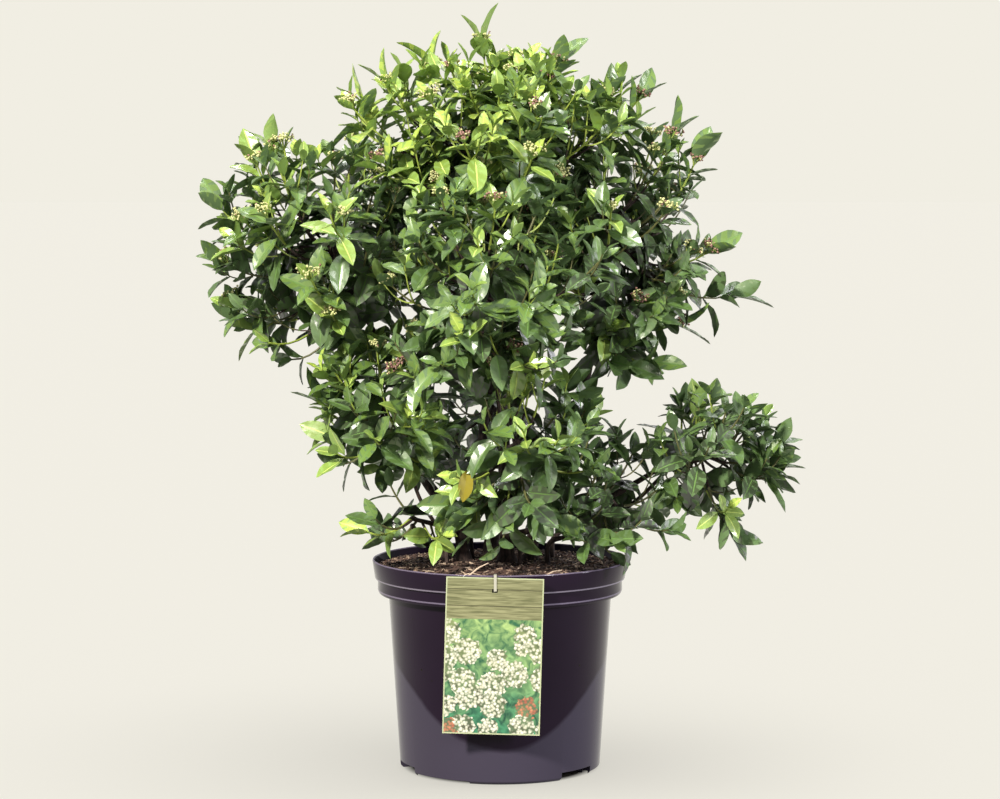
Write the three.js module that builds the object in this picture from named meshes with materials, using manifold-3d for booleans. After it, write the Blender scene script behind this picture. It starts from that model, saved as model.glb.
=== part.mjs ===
// A laurustinus, an evergreen shrub of several stems, in a round ten-litre nursery pot with a picture tag
// hung over its rim. Millimetres, +Z up, the front is -Y.
// The origin is the middle of the pot's flat underside.
import * as THREE from "three";
import { mergeVertices } from "three/addons/utils/BufferGeometryUtils.js";
import Module from "manifold-3d";

const wasm = await Module();
wasm.setup();

const UP = new THREE.Vector3(0, 0, 1);
const AIR = 0.35; // gap between pieces that touch on the real plant
const FINEST = 0.01; // edges that a cut leaves shorter than this are closed

// The pot: a tapered wall, a shoulder for stacking, and an upper band that stands out over a lower one
const POT = {
  height: 230,
  wall: 2.2,
  baseRadius: 109.8,
  wallTopRadius: 122,
  shoulderZ: 193,
  lowerBandRadius: 134,
  ledgeZ: 209,
  upperBandRadius: 137,
  rimRadius: 140,
  plateZ: 4, // underside of the raised base plate
  padRadius: 45, // the middle pad, which stands on the ground with the feet
  footWidth: 16,
  segments: 32,
};
// Drain slots cut through the foot, each with a shallow relief beside it
const DRAIN = {
  count: 3,
  firstDeg: -53, // measured from +X, so that one slot shows right of the front
  slotWidthDeg: 26,
  slotHeight: 9,
  reliefWidthDeg: 40,
  reliefHeight: 3,
};
const SOIL = { edgeDrop: 8, plateauRadius: 66, plateauDrop: 2 };
const TAG = {
  width: 103,
  height: 167,
  thickness: 0.8,
  topZ: 228,
  leftOfMiddle: 5, // its middle lies this far left of the pot's
  rollDeg: 1.6,
  holeDrop: 12,
  holeWidth: 6,
  holeHeight: 4,
  hookWidth: 3,
  hookThickness: 0.9,
};

// Stems rise from the soil: foot, top, radii there, and how far the middle bows outwards
const GROUND = POT.height - SOIL.plateauDrop + AIR;
const FLARE = { height: 16, swell: 0.7 };
const STEMS = {
  main_stem: { foot: [8, -4], top: [-2, -14, 470], radii: [9, 4.6], bow: 9 },
  left_stem: { foot: [-40, 4], top: [-112, 2, 430], radii: [7.5, 4.2], bow: 12 },
  right_stem: { foot: [34, 14], top: [96, 20, 430], radii: [7, 4.2], bow: -10 },
  back_stem: { foot: [-6, 46], top: [-8, 112, 440], radii: [7, 4.2], bow: -12 },
};

// Masses of foliage: middle, half-widths, the stem and the share of its length that its bough leaves from,
// how many shoots grow in it, and the furthest tips that single shoots of it reach
const MASSES = {
  crown_top: {
    at: [0, -20, 686],
    reach: [192, 142, 88],
    stem: "main_stem",
    share: 1,
    shoots: 22,
    tips: [[-26, -24, 825], [84, -10, 796], [-150, -30, 764], [184, -20, 746],
      [-92, -20, 794], [52, -30, 792], [-178, -24, 748], [140, -30, 758]],
  },
  upper_left: {
    at: [-186, -14, 572],
    reach: [116, 146, 140],
    stem: "left_stem",
    share: 1,
    shoots: 24,
    tips: [[-338, -10, 622], [-334, -20, 548], [-262, -20, 704], [-310, 10, 476], [-286, -20, 690]],
  },
  upper_right: {
    at: [116, -6, 598],
    reach: [98, 146, 138],
    stem: "right_stem",
    share: 1,
    shoots: 24,
    tips: [[226, -10, 738], [285, -10, 500], [262, -20, 560], [214, -20, 462],
      [236, -16, 690], [160, -20, 462], [126, -30, 446]],
  },
  front_middle: {
    at: [-20, -134, 540],
    reach: [150, 112, 130],
    stem: "main_stem",
    share: 0.8,
    shoots: 22,
  },
  upper_back: {
    at: [-16, 136, 612],
    reach: [190, 124, 138],
    stem: "back_stem",
    share: 1,
    shoots: 18,
  },
  lower_back: {
    at: [-4, 136, 394],
    reach: [134, 112, 134],
    stem: "back_stem",
    share: 0.6,
    shoots: 14,
  },
  lower_left: {
    at: [-122, -42, 400],
    reach: [80, 120, 106],
    stem: "left_stem",
    share: 0.5,
    shoots: 22,
    tips: [[-222, -50, 402], [-210, -50, 346]],
  },
  lower_front: {
    at: [18, -100, 370],
    reach: [116, 104, 124],
    stem: "main_stem",
    share: 0.46,
    shoots: 22,
  },
  low_right: {
    at: [230, -14, 344],
    reach: [86, 106, 78],
    stem: "right_stem",
    share: 0.34,
    shoots: 18,
    tips: [[288, -20, 410], [334, -20, 362], [262, -30, 232], [216, -20, 424], [330, -20, 326]],
  },
  low_right_inner: {
    at: [114, -56, 308],
    reach: [94, 98, 72],
    stem: "main_stem",
    share: 0.14,
    shoots: 18,
  },
  foot_left: {
    at: [-92, -58, 284],
    reach: [76, 80, 50],
    stem: "left_stem",
    share: 0.16,
    shoots: 12,
    tips: [[-182, -60, 262]],
  },
};
const HEART = new THREE.Vector3(0, 20, 400); // the bare middle that the foliage stands round
const LIFT = 0.3; // how strongly shoots turn up from straight outwards
const SEAM = 0.024; // how much deeper in its own mass than in any other a leaf has to lie

const STEM = { sides: 7, steps: 9, buried: 6, straight: 0.12 };
const BOUGH = { radii: [4.4, 2.8], sides: 5, steps: 3, bow: 0.12, inside: 6, longest: 0.62 };
const TWIG = { stem: [3.4, 3.2], shoot: [1.5, 1.1], seat: 3.2, buried: 7, gap: 3.7 }; // radii, and lengths
const SHOOT = {
  turn: Math.PI * (3 - Math.sqrt(5)), // from one shoot to the next round the mass
  stray: 0.5, // and how far it may turn on from there
  capCos: -0.85, // the lowest direction of a shoot, as a cosine from the mass's axis
  startShare: 0.25,
  tipStep: 0.12, // how much lower each outstanding shoot leaves the stem than the last
  crown: 6,
  sag: 0.14,
  reach: 0.9,
  shrink: 0.07,
  shortest: 22,
  bareShare: 0.2, // no leaves this near to the root, of the length
};
// Leaves are longer than real ones and fewer, so that the crown looks as full
const LEAF = {
  length: 88,
  sizes: [1, 0.86, 0.72, 0.58],
  width: 0.47, // of the length
  keel: 0.03, // depth of the midrib below the blade, of the length
  widest: 0.45, // of the length, from the root
  fold: 0.08, // how far the edges stand up, of the width
  arch: 0.1, // how far the tip hangs, of the length
  bare: 0.16, // the share next to the root where leaves may touch
  overhang: 0.27, // how far leaves stand out past the outline of the shoots, of the mass's half-widths
  gap: 2.2, // clear air kept to every limb
  pairSpacing: 25,
  shorter: 0.14, // how much shorter than the longest a leaf may be
  lift: 0.12, // how far leaves and their faces turn up from the shoot's own direction
  faceUp: 0.8,
};
const PAIR_ANGLES = [34, 54, 66].map(THREE.MathUtils.degToRad); // off the shoot, from its tip down
const LEADER_ANGLES = [14, 40, 60].map(THREE.MathUtils.degToRad); // on the shoots that stand out furthest
const HEAD = { radius: 12, height: 9, every: 5, lowest: 560, pairAngle: 1 }; // flower buds on upper shoots

// A stream of numbers from 0 to 1 that is the same each time
function stream(seed) {
  let state = seed;
  return () => {
    state = (state * 48271) % 2147483647;
    return state / 2147483647;
  };
}

const vec = (p) => new THREE.Vector3(...p);

// A geometry's closed surface as a solid
function solidOf(geometry) {
  const bare = new THREE.BufferGeometry().setAttribute("position", geometry.getAttribute("position"));
  const merged = mergeVertices(bare.setIndex(geometry.index), 1e-3);
  const triVerts = new Uint32Array(merged.index.array);
  return new wasm.Manifold(
    new wasm.Mesh({ numProp: 3, vertProperties: merged.attributes.position.array, triVerts }),
  );
}

const fuse = (solids) => solids.reduce((whole, next) => whole.add(next));
const largest = (solid) => solid.decompose().reduce((a, b) => (b.volume() > a.volume() ? b : a));

function geometryOf(solid) {
  const { vertProperties, triVerts } = solid.getMesh();
  return new THREE.BufferGeometry()
    .setAttribute("position", new THREE.BufferAttribute(vertProperties, 3))
    .setIndex(new THREE.BufferAttribute(triVerts, 1));
}

// Whether two skins of a solid come so near each other that they share an edge once its points are merged
function pinched(solid) {
  const { index } = mergeVertices(geometryOf(solid), 1e-3);
  const uses = new Map();
  for (let i = 0; i < index.count; i++) {
    const next = i % 3 === 2 ? i - 2 : i + 1;
    const edge = [index.array[i], index.array[next]].sort((a, b) => a - b).join();
    uses.set(edge, (uses.get(edge) ?? 0) + 1);
  }
  return [...uses.values()].some((count) => count !== 2);
}

// A round bar along a curve, whose radius is radiusAt(share of its length)
function barAlong(curve, radiusAt, sides, steps) {
  const bar = new THREE.CylinderGeometry(1, 1, 1, sides, steps);
  const frames = curve.computeFrenetFrames(steps, false);
  const place = bar.getAttribute("position");
  const p = new THREE.Vector3();
  for (let i = 0; i < place.count; i++) {
    p.fromBufferAttribute(place, i);
    const step = Math.round((p.y + 0.5) * steps);
    const radius = radiusAt(step / steps);
    const at = curve
      .getPointAt(step / steps)
      .addScaledVector(frames.normals[step], p.x * radius)
      .addScaledVector(frames.binormals[step], -p.z * radius);
    place.setXYZ(i, at.x, at.y, at.z);
  }
  return bar;
}

const taper = ([start, end]) => (share) => start + (end - start) * share;

// A limb with its clearance: the same shape, wider and longer by the air kept to its neighbours
function limbAlong(points, radiusAt, sides, steps) {
  const curve = new THREE.CatmullRomCurve3(points);
  const longer = points.map((p) => p.clone());
  const last = longer.length - 1;
  longer[last].addScaledVector(curve.getTangent(1), AIR);
  const wide = (share) => radiusAt(share) + AIR;
  return {
    curve,
    radiusAt,
    line: curve.getSpacedPoints(16),
    solid: solidOf(barAlong(curve, radiusAt, sides, steps)),
    clearance: solidOf(barAlong(new THREE.CatmullRomCurve3(longer), wide, sides, steps)),
  };
}

// A stem from its flat cut at the soil, with a root flare, bowed outwards in the middle
function growStem({ foot, top, radii, bow }) {
  const start = vec([...foot, GROUND - STEM.buried]);
  const end = vec(top);
  const side = new THREE.Vector3().subVectors(end, start).cross(UP).normalize();
  const out = new THREE.Vector3(...foot, 0).normalize();
  const middle = start.clone().lerp(end, 0.5).addScaledVector(side, bow).addScaledVector(out, Math.abs(bow));
  const low = start.clone().addScaledVector(UP, FLARE.height * 2).lerp(middle, STEM.straight);
  const height = end.z - start.z;
  const flared = (share) => {
    const rise = Math.max(0, 1 - (share * height) / FLARE.height);
    return taper(radii)(share) * (1 + FLARE.swell * rise * rise);
  };
  const stem = limbAlong([start, low, middle, end], flared, STEM.sides, STEM.steps);
  const deep = 40;
  const wide = 2 * POT.rimRadius;
  const below = new THREE.BoxGeometry(wide, wide, deep).translate(0, 0, GROUND - deep / 2);
  stem.solid = stem.solid.subtract(solidOf(below));
  return stem;
}

// How deep a point lies in a mass: 0 at its middle, 1 at its outline
function depthIn(mass, p) {
  const [x, y, z] = mass.at;
  const [rx, ry, rz] = mass.reach;
  return Math.hypot((p.x - x) / rx, (p.y - y) / ry, (p.z - z) / rz);
}

const clearOfPot = (p) => p.z > POT.height + 4 || Math.hypot(p.x, p.y) > POT.rimRadius + 4;

function inSpace(mass, p, outline = 1) {
  const own = depthIn(mass, p);
  if (own >= outline || !clearOfPot(p)) return false;
  return Object.values(MASSES).every((other) => other === mass || depthIn(other, p) - own > SEAM);
}

// How far a mass's space runs from its middle in one direction
function reachOf(mass, direction) {
  const step = 4;
  const p = vec(mass.at);
  let far = 0;
  while (inSpace(mass, p)) {
    p.addScaledVector(direction, step);
    far += step;
  }
  return Math.max(0, far - step);
}

function clearOfLimbs(p, limbs, gap) {
  const nearest = new THREE.Vector3();
  const piece = new THREE.Line3();
  return limbs.every(({ line, radiusAt }) =>
    line.slice(1).every((end, i) => {
      piece.set(line[i], end);
      piece.closestPointToPoint(p, true, nearest);
      return nearest.distanceTo(p) > radiusAt(i / (line.length - 1)) + gap;
    }),
  );
}

// A bough runs from its stem to the edge of its mass. It is cut clear of the limbs that it leaves
function growBough(mass, stem, limbs) {
  const start = stem.curve.getPointAt(mass.share);
  const middle = vec(mass.at);
  const back = start.clone().sub(middle).normalize();
  const inside = Math.min(reachOf(mass, back) - BOUGH.inside, start.distanceTo(middle) * BOUGH.longest);
  const end = middle.clone().addScaledVector(back, inside);
  const length = start.distanceTo(end);
  const bend = start.clone().lerp(end, 0.5).addScaledVector(UP, -BOUGH.bow * length);
  const limb = limbAlong([start, bend, end], taper(BOUGH.radii), BOUGH.sides, BOUGH.steps);
  limbs.forEach((other) => {
    limb.solid = limb.solid.subtract(other.clearance);
  });
  limb.solid = largest(limb.solid).simplify(FINEST);
  return limb;
}

// The three corners of a twig's section where its pair of leaves number k stands. Each pair is a quarter
// turn from the last, and its first leaf is on the face between corners k and k + 1
function ringAt({ curve, out, radii }, share, k) {
  const tangent = curve.getTangentAt(share);
  const outwards = out.clone().addScaledVector(tangent, -out.dot(tangent)).normalize();
  const radius = taper(radii)(share);
  return [0, 1, 2].map((i) => {
    const round = THREE.MathUtils.degToRad(120 * i - 60 - 30 * k);
    const corner = outwards.clone().applyAxisAngle(tangent, round).multiplyScalar(radius);
    return corner.add(curve.getPointAt(share));
  });
}

// A leaf's blade: its tip, its two edges and the keel under its midrib
function leafOf(root, along, face, length) {
  const across = new THREE.Vector3().crossVectors(face, along);
  const width = length * LEAF.width;
  const point = (far, wide, high) =>
    root.clone().addScaledVector(along, far).addScaledVector(across, wide).addScaledVector(face, high);
  const broad = LEAF.widest * length;
  const blade = {
    tip: point(length, 0, -LEAF.arch * length),
    left: point(broad, -width / 2, width * LEAF.fold),
    right: point(broad, width / 2, width * LEAF.fold),
    keel: point(broad, 0, -LEAF.keel * length),
  };
  const { tip, left, right, keel } = blade;
  const between = [left, right, keel].flatMap((c) => [c.clone().lerp(tip, 0.5), c.clone().lerp(root, 0.5)]);
  const outer = [tip, left, right, keel].concat(
    [left, right, keel].map((c) => root.clone().lerp(c, LEAF.bare / LEAF.widest)),
  );
  const skin = [0, 1, 2, 0, 3, 1, 0, 2, 3, 1, 4, 5, 1, 5, 2, 3, 6, 4, 3, 4, 1, 2, 5, 6, 2, 6, 3, 4, 6, 5];
  const trial = solidOf(new THREE.BufferGeometry().setFromPoints(outer).setIndex(skin.toReversed()));
  return { ...blade, trial, probes: [tip, left, right, keel, ...between] };
}

// A leaf that stands off a shoot at an angle, with its face turned up
function leafOff(root, axis, out, angle, length) {
  const along = axis.clone().multiplyScalar(Math.cos(angle)).addScaledVector(out, Math.sin(angle));
  along.addScaledVector(UP, LEAF.lift).normalize();
  const face = axis.clone().multiplyScalar(Math.sin(angle)).addScaledVector(out, -Math.cos(angle));
  face.addScaledVector(UP, LEAF.faceUp);
  face.addScaledVector(along, -face.dot(along)).normalize();
  return leafOf(root, along, face, length);
}

// A twig and its leaves as one closed skin, from a length along it. The first leaf of a pair takes the place
// of one face of the twig, the second that of the other two
function twigSolid(twig, from = 0) {
  const places = [];
  const triangles = [];
  const add = (points) => points.map((p) => places.push(p) - 1);
  const length = twig.curve.getLength();
  const seats = twig.seats.toSorted((a, b) => a.share - b.share);
  const rings = [{ share: from / length, k: seats[0]?.k ?? 0 }];
  seats.forEach((seat) => {
    rings.push({ share: seat.share - TWIG.seat / length, k: seat.k });
    rings.push({ share: seat.share, k: seat.k, seat });
  });
  if (rings.at(-1).share < 1) rings.push({ share: 1, k: seats.at(-1)?.k ?? 0 });
  rings.forEach((ring) => {
    ring.corners = add(ringAt(twig, ring.share, ring.k));
  });
  rings.slice(1).forEach(({ corners: b, seat }, step) => {
    const a = rings[step].corners;
    const bare = new Set([0, 1, 2]);
    seat?.leaves.forEach((leaf) => {
      const faces = leaf.second ? [1, 2] : [0];
      const chain = [...faces, faces.at(-1) + 1].map((i) => (i + seat.k) % 3);
      faces.forEach((i) => bare.delete((i + seat.k) % 3));
      const [tip, left, right, keel] = add([leaf.tip, leaf.left, leaf.right, leaf.keel]);
      const [low, high] = [a, b].map((ring) => chain.map((i) => ring[i]));
      const [l0, h0, ln, hn] = [low[0], high[0], low.at(-1), high.at(-1)];
      triangles.push(l0, keel, left, l0, left, h0, ln, hn, right, ln, right, keel);
      triangles.push(left, tip, right, keel, tip, left, right, tip, keel);
      if (leaf.second) {
        triangles.push(high[1], h0, left, high[1], left, right, high[1], right, hn);
        triangles.push(l0, low[1], keel, low[1], ln, keel);
      } else {
        triangles.push(h0, left, right, h0, right, hn, l0, ln, keel);
      }
    });
    bare.forEach((i) => {
      const j = (i + 1) % 3;
      triangles.push(a[i], a[j], b[j], a[i], b[j], b[i]);
    });
  });
  const [first, last] = [rings[0].corners, rings.at(-1).corners];
  triangles.push(...first.toReversed(), ...last);
  return solidOf(new THREE.BufferGeometry().setFromPoints(places).setIndex(triangles));
}

const bent = (start, end, sag) => {
  const length = start.distanceTo(end);
  const middle = start.clone().lerp(end, 0.55).addScaledVector(UP, -sag * length);
  return new THREE.QuadraticBezierCurve3(start, middle, end);
};

const apart = (a, b) => [0, 1, 2].some((i) => a.min[i] > b.max[i] || b.min[i] > a.max[i]);

// A mass: one stem that carries on from the bough, shoots spread over its outline, and opposite leaves on
// them that don't cross
function growMass(name, bough, limbs, seed) {
  const mass = MASSES[name];
  const draw = stream(seed);
  const middle = vec(mass.at);
  const others = limbs.filter((limb) => limb !== bough);
  const axis = middle.clone().sub(HEART).normalize().addScaledVector(UP, LIFT).normalize();
  const turn = new THREE.Quaternion().setFromUnitVectors(UP, axis);
  const entry = bough.curve.getPointAt(1);
  const stem = new THREE.LineCurve3(entry, middle.clone().addScaledVector(axis, SHOOT.crown));

  const twigs = [];
  const placed = [];
  const place = (solid) => placed.push({ solid, box: solid.boundingBox() });
  const crossesNothing = (solid) => {
    const box = solid.boundingBox();
    return placed.every((other) => apart(other.box, box) || other.solid.intersect(solid).isEmpty());
  };
  const leafFits = (leaf, limit) =>
    leaf.probes.every((p) => inSpace(mass, p, limit + LEAF.overhang) && clearOfLimbs(p, limbs, LEAF.gap)) &&
    crossesNothing(leaf.trial);
  const twigFits = (curve, limit) =>
    curve.getPoints(6).every((p) => inSpace(mass, p, limit) && clearOfLimbs(p, others, TWIG.gap));
  const addTwig = (curve, radii, limit = 0) => {
    const out = curve.computeFrenetFrames(1, false).normals[1].clone();
    out.applyAxisAngle(curve.getTangent(1), draw() * Math.PI);
    const twig = { curve, radii, limit, out, seats: [], head: null, spread: PAIR_ANGLES };
    const clear = twigSolid(twig, limit ? TWIG.buried : 0);
    if (!crossesNothing(clear)) return null;
    twigs.push(twig);
    place(clear);
    return twig;
  };
  // A shoot towards a point, as far as there is room for it
  const grow = (start, target, limit) => {
    for (let share = 1; share > 0; share -= SHOOT.shrink) {
      const curve = bent(start, start.clone().lerp(target, share), SHOOT.sag);
      if (curve.getLength() < SHOOT.shortest) return null;
      const twig = twigFits(curve, limit) && addTwig(curve, TWIG.shoot, limit);
      if (twig) return twig;
    }
    return null;
  };

  addTwig(stem, TWIG.stem);
  (mass.tips ?? []).forEach((tip, k) => {
    const target = vec(tip);
    const start = stem.getPointAt(1 - SHOOT.tipStep * k);
    target.lerp(start, LEAF.length / target.distanceTo(start));
    const leader = grow(start, target, 2);
    if (leader) leader.spread = LEADER_ANGLES;
  });
  for (let k = 0; k < mass.shoots; k++) {
    const along = (k + 0.5) / mass.shoots;
    const high = 1 - (1 - SHOOT.capCos) * along;
    const round = k * SHOOT.turn + draw() * SHOOT.stray;
    const wide = Math.sqrt(1 - high * high);
    const direction = new THREE.Vector3(wide * Math.cos(round), wide * Math.sin(round), high);
    direction.applyQuaternion(turn);
    const start = stem.getPointAt(1 - (1 - SHOOT.startShare) * along);
    const target = middle.clone().addScaledVector(direction, reachOf(mass, direction) * SHOOT.reach);
    const shoot = grow(start, target, 1);
    if (!shoot || k % HEAD.every) continue;
    const tip = shoot.curve.getPoint(1);
    if (tip.z < HEAD.lowest) continue;
    const head = new THREE.SphereGeometry(HEAD.radius, 5, 2).rotateX(Math.PI / 2);
    head.scale(1, 1, HEAD.height / HEAD.radius).translate(tip.x, tip.y, tip.z + HEAD.height - 1);
    shoot.head = solidOf(head);
    place(shoot.head);
  }

  let leaves = 0;
  PAIR_ANGLES.forEach((_, k) => {
    for (const twig of twigs.slice(1)) {
      const share = 1 - (k * LEAF.pairSpacing) / twig.curve.getLength();
      if (share < SHOOT.bareShare) continue;
      const root = twig.curve.getPointAt(share);
      const tangent = twig.curve.getTangentAt(share);
      const out = twig.out.clone().addScaledVector(tangent, -twig.out.dot(tangent)).normalize();
      const wide = twig.head && !k ? HEAD.pairAngle : twig.spread[k];
      const pair = [false, true].map((second) => {
        const side = out.clone().applyAxisAngle(tangent, (k / 2 + (second ? 1 : 0)) * Math.PI);
        const wanted = LEAF.length * (1 - LEAF.shorter * draw());
        const leaf = LEAF.sizes
          .map((size) => leafOff(root, tangent, side, wide, wanted * size))
          .find((tried) => leafFits(tried, twig.limit));
        return leaf && { ...leaf, second };
      });
      const kept = pair.filter((leaf) => leaf);
      if (kept.length < (k ? 2 : 1)) continue;
      kept.forEach((leaf) => place(leaf.trial));
      twig.seats.push({ share, k, leaves: kept });
      leaves += kept.length;
    }
  });
  const buds = twigs.filter(({ head }) => head).map(({ head }) => head);
  let whole = fuse([...twigs.map((twig) => twigSolid(twig)), ...buds]);
  limbs.forEach((limb) => {
    whole = whole.subtract(limb.clearance);
  });
  whole = largest(whole).simplify(FINEST);
  console.log(name, twigs.length, "twigs", leaves, "leaves", whole.numTri(), "triangles");
  return whole;
}

// The pot's inside as radius and height pairs, from the base plate up to the rim
function insideOfPot(inset, from) {
  const t = POT.wall;
  const rings = [
    [POT.baseRadius - t, from],
    [POT.wallTopRadius - t, POT.shoulderZ + t],
    [POT.lowerBandRadius - t, POT.shoulderZ + t + 1.5],
    [POT.lowerBandRadius - t, POT.ledgeZ + t],
    [POT.upperBandRadius - t, POT.ledgeZ + t + 1.5],
    [POT.rimRadius - t, POT.height],
  ];
  return rings.map(([r, z]) => [r - inset, z]);
}

const lathe = (profile) =>
  new THREE.LatheGeometry(
    profile.map(([r, z]) => new THREE.Vector2(r, z)),
    POT.segments,
  ).rotateX(Math.PI / 2);

// A block of a ring between two angles, to cut the foot with
function ringBlock(firstDeg, widthDeg, height) {
  const shape = new THREE.Shape();
  const first = THREE.MathUtils.degToRad(firstDeg);
  const last = THREE.MathUtils.degToRad(firstDeg + widthDeg);
  shape.absarc(0, 0, POT.baseRadius + 6, first, last, false);
  shape.absarc(0, 0, POT.baseRadius - POT.footWidth - 3, last, first, true);
  const depth = height + 1;
  const block = new THREE.ExtrudeGeometry(shape, { depth, bevelEnabled: false, curveSegments: 4 });
  return solidOf(block.translate(0, 0, -1));
}

function makePot() {
  const footInner = POT.baseRadius - POT.footWidth;
  const outside = [
    [0, 0],
    [POT.padRadius, 0],
    [POT.padRadius + 3, POT.plateZ],
    [footInner - 3, POT.plateZ],
    [footInner, 0],
    [POT.baseRadius - 3, 0],
    [POT.baseRadius, 3],
    [POT.wallTopRadius, POT.shoulderZ - 1.5],
    [POT.lowerBandRadius - 1.5, POT.shoulderZ],
    [POT.lowerBandRadius, POT.shoulderZ + 3],
    [POT.lowerBandRadius, POT.ledgeZ - 0.5],
    [POT.upperBandRadius, POT.ledgeZ],
    [POT.rimRadius, POT.height - 1.5],
    [POT.rimRadius - 0.6, POT.height],
  ];
  const inside = insideOfPot(0, POT.plateZ + POT.wall).reverse();
  const floor = [0, POT.plateZ + POT.wall];
  let pot = solidOf(lathe([...outside, ...inside, floor]));
  const pitch = 360 / DRAIN.count;
  for (let k = 0; k < DRAIN.count; k++) {
    const slot = DRAIN.firstDeg + k * pitch;
    pot = pot.subtract(ringBlock(slot, DRAIN.slotWidthDeg, DRAIN.slotHeight));
    pot = pot.subtract(ringBlock(slot + DRAIN.slotWidthDeg, DRAIN.reliefWidthDeg, DRAIN.reliefHeight));
  }
  return pot;
}

// The soil fills the pot and rises a little towards the stems
function makeSoil() {
  const floorZ = POT.plateZ + POT.wall + AIR;
  const edgeZ = POT.height - SOIL.edgeDrop;
  const side = insideOfPot(AIR, floorZ).filter(([, z]) => z < edgeZ);
  const edgeRadius = side.at(-1)[0] + 1;
  const plateauZ = POT.height - SOIL.plateauDrop;
  const top = [[edgeRadius, edgeZ], [SOIL.plateauRadius, plateauZ], [0, plateauZ]];
  return solidOf(lathe([[0, floorZ], ...side, ...top]));
}

// The tag's face, with a slot near its top edge for the hook
function makeTag() {
  const { width, height, holeWidth, holeHeight, holeDrop } = TAG;
  const card = new THREE.Shape();
  card.moveTo(-width / 2, -height);
  card.lineTo(width / 2, -height);
  card.lineTo(width / 2, 0);
  card.lineTo(-width / 2, 0);
  const slot = new THREE.Path();
  slot.moveTo(-holeWidth / 2, -holeDrop);
  slot.lineTo(-holeWidth / 2, -holeDrop - holeHeight);
  slot.lineTo(holeWidth / 2, -holeDrop - holeHeight);
  slot.lineTo(holeWidth / 2, -holeDrop);
  card.holes.push(slot);
  return new THREE.ExtrudeGeometry(card, { depth: TAG.thickness, bevelEnabled: false })
    .rotateX(Math.PI / 2)
    .rotateY(THREE.MathUtils.degToRad(TAG.rollDeg));
}

// The hook: a flat strip that runs from inside the pot over the rim, down the card's face and into its slot
function makeHook() {
  const { hookThickness: t, hookWidth, thickness, holeDrop, holeHeight } = TAG;
  const inner = -(POT.rimRadius - POT.wall - 2);
  const front = -(POT.rimRadius + AIR + thickness + AIR);
  const top = POT.height + AIR;
  const slotZ = TAG.topZ - holeDrop - holeHeight / 2;
  const strip = new THREE.Shape();
  const outline = [
    [inner, top - 6],
    [inner, top],
    [front, top],
    [front, slotZ + t / 2],
    [front + thickness + AIR, slotZ + t / 2],
    [front + thickness + AIR, slotZ - t / 2],
    [front - t, slotZ - t / 2],
    [front - t, top + t],
    [inner + t, top + t],
    [inner + t, top - 6],
  ];
  outline.forEach(([y, z], i) => (i ? strip.lineTo(y, z) : strip.moveTo(y, z)));
  const made = new THREE.ExtrudeGeometry(strip, { depth: hookWidth, bevelEnabled: false });
  // the shape's x is the depth y, its y the height z, and its thickness runs along x
  made.applyMatrix4(new THREE.Matrix4().makeBasis(vec([0, 1, 0]), UP, vec([1, 0, 0])));
  return made.translate(-hookWidth / 2, 0, 0);
}

const MATERIALS = {
  pot: new THREE.MeshStandardMaterial({ color: "#2d2833", roughness: 0.28, metalness: 0 }),
  soil: new THREE.MeshStandardMaterial({ color: "#3b281d", roughness: 0.95, metalness: 0 }),
  bark: new THREE.MeshStandardMaterial({ color: "#4a3a30", roughness: 0.85, metalness: 0 }),
  foliage: new THREE.MeshStandardMaterial({ color: "#3c6b2c", roughness: 0.4, metalness: 0 }),
  card: new THREE.MeshStandardMaterial({ color: "#9fb183", roughness: 0.35, metalness: 0 }),
  hook: new THREE.MeshStandardMaterial({ color: "#ece6d6", roughness: 0.4, metalness: 0 }),
};

const plant = new THREE.Group();
function addPiece(name, geometry, material) {
  const mesh = new THREE.Mesh(geometry, MATERIALS[material]);
  mesh.name = name;
  plant.add(mesh);
  return mesh;
}

addPiece("pot", geometryOf(makePot()), "pot");
addPiece("potting_soil", geometryOf(makeSoil()), "soil");
const card = addPiece("tag_card", makeTag(), "card");
card.position.set(-TAG.leftOfMiddle, -(POT.rimRadius + AIR), TAG.topZ);
addPiece("tag_hook", makeHook(), "hook").position.x = -TAG.leftOfMiddle;

const stems = Object.fromEntries(Object.entries(STEMS).map(([name, sizes]) => [name, growStem(sizes)]));
Object.entries(stems).forEach(([name, stem]) => addPiece(name, geometryOf(stem.solid), "bark"));

const limbs = Object.values(stems);
const boughs = {};
for (const [name, mass] of Object.entries(MASSES)) {
  boughs[name] = growBough(mass, stems[mass.stem], limbs);
  limbs.push(boughs[name]);
  addPiece(`bough_${name}`, geometryOf(boughs[name].solid), "bark");
}
Object.keys(MASSES).forEach((name, i) => {
  let seed = 1009 + 97 * i;
  let mass = growMass(name, boughs[name], limbs, seed);
  while (pinched(mass)) mass = growMass(name, boughs[name], limbs, ++seed);
  addPiece(`foliage_${name}`, geometryOf(mass), "foliage");
});

export default plant;
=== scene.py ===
# A laurustinus in a nursery pot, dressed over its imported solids
# Lengths in the dictionaries are millimetres, and meshes are made in metres
import math
import random

import bpy
import numpy as np
from mathutils import Matrix, Vector, noise


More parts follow.
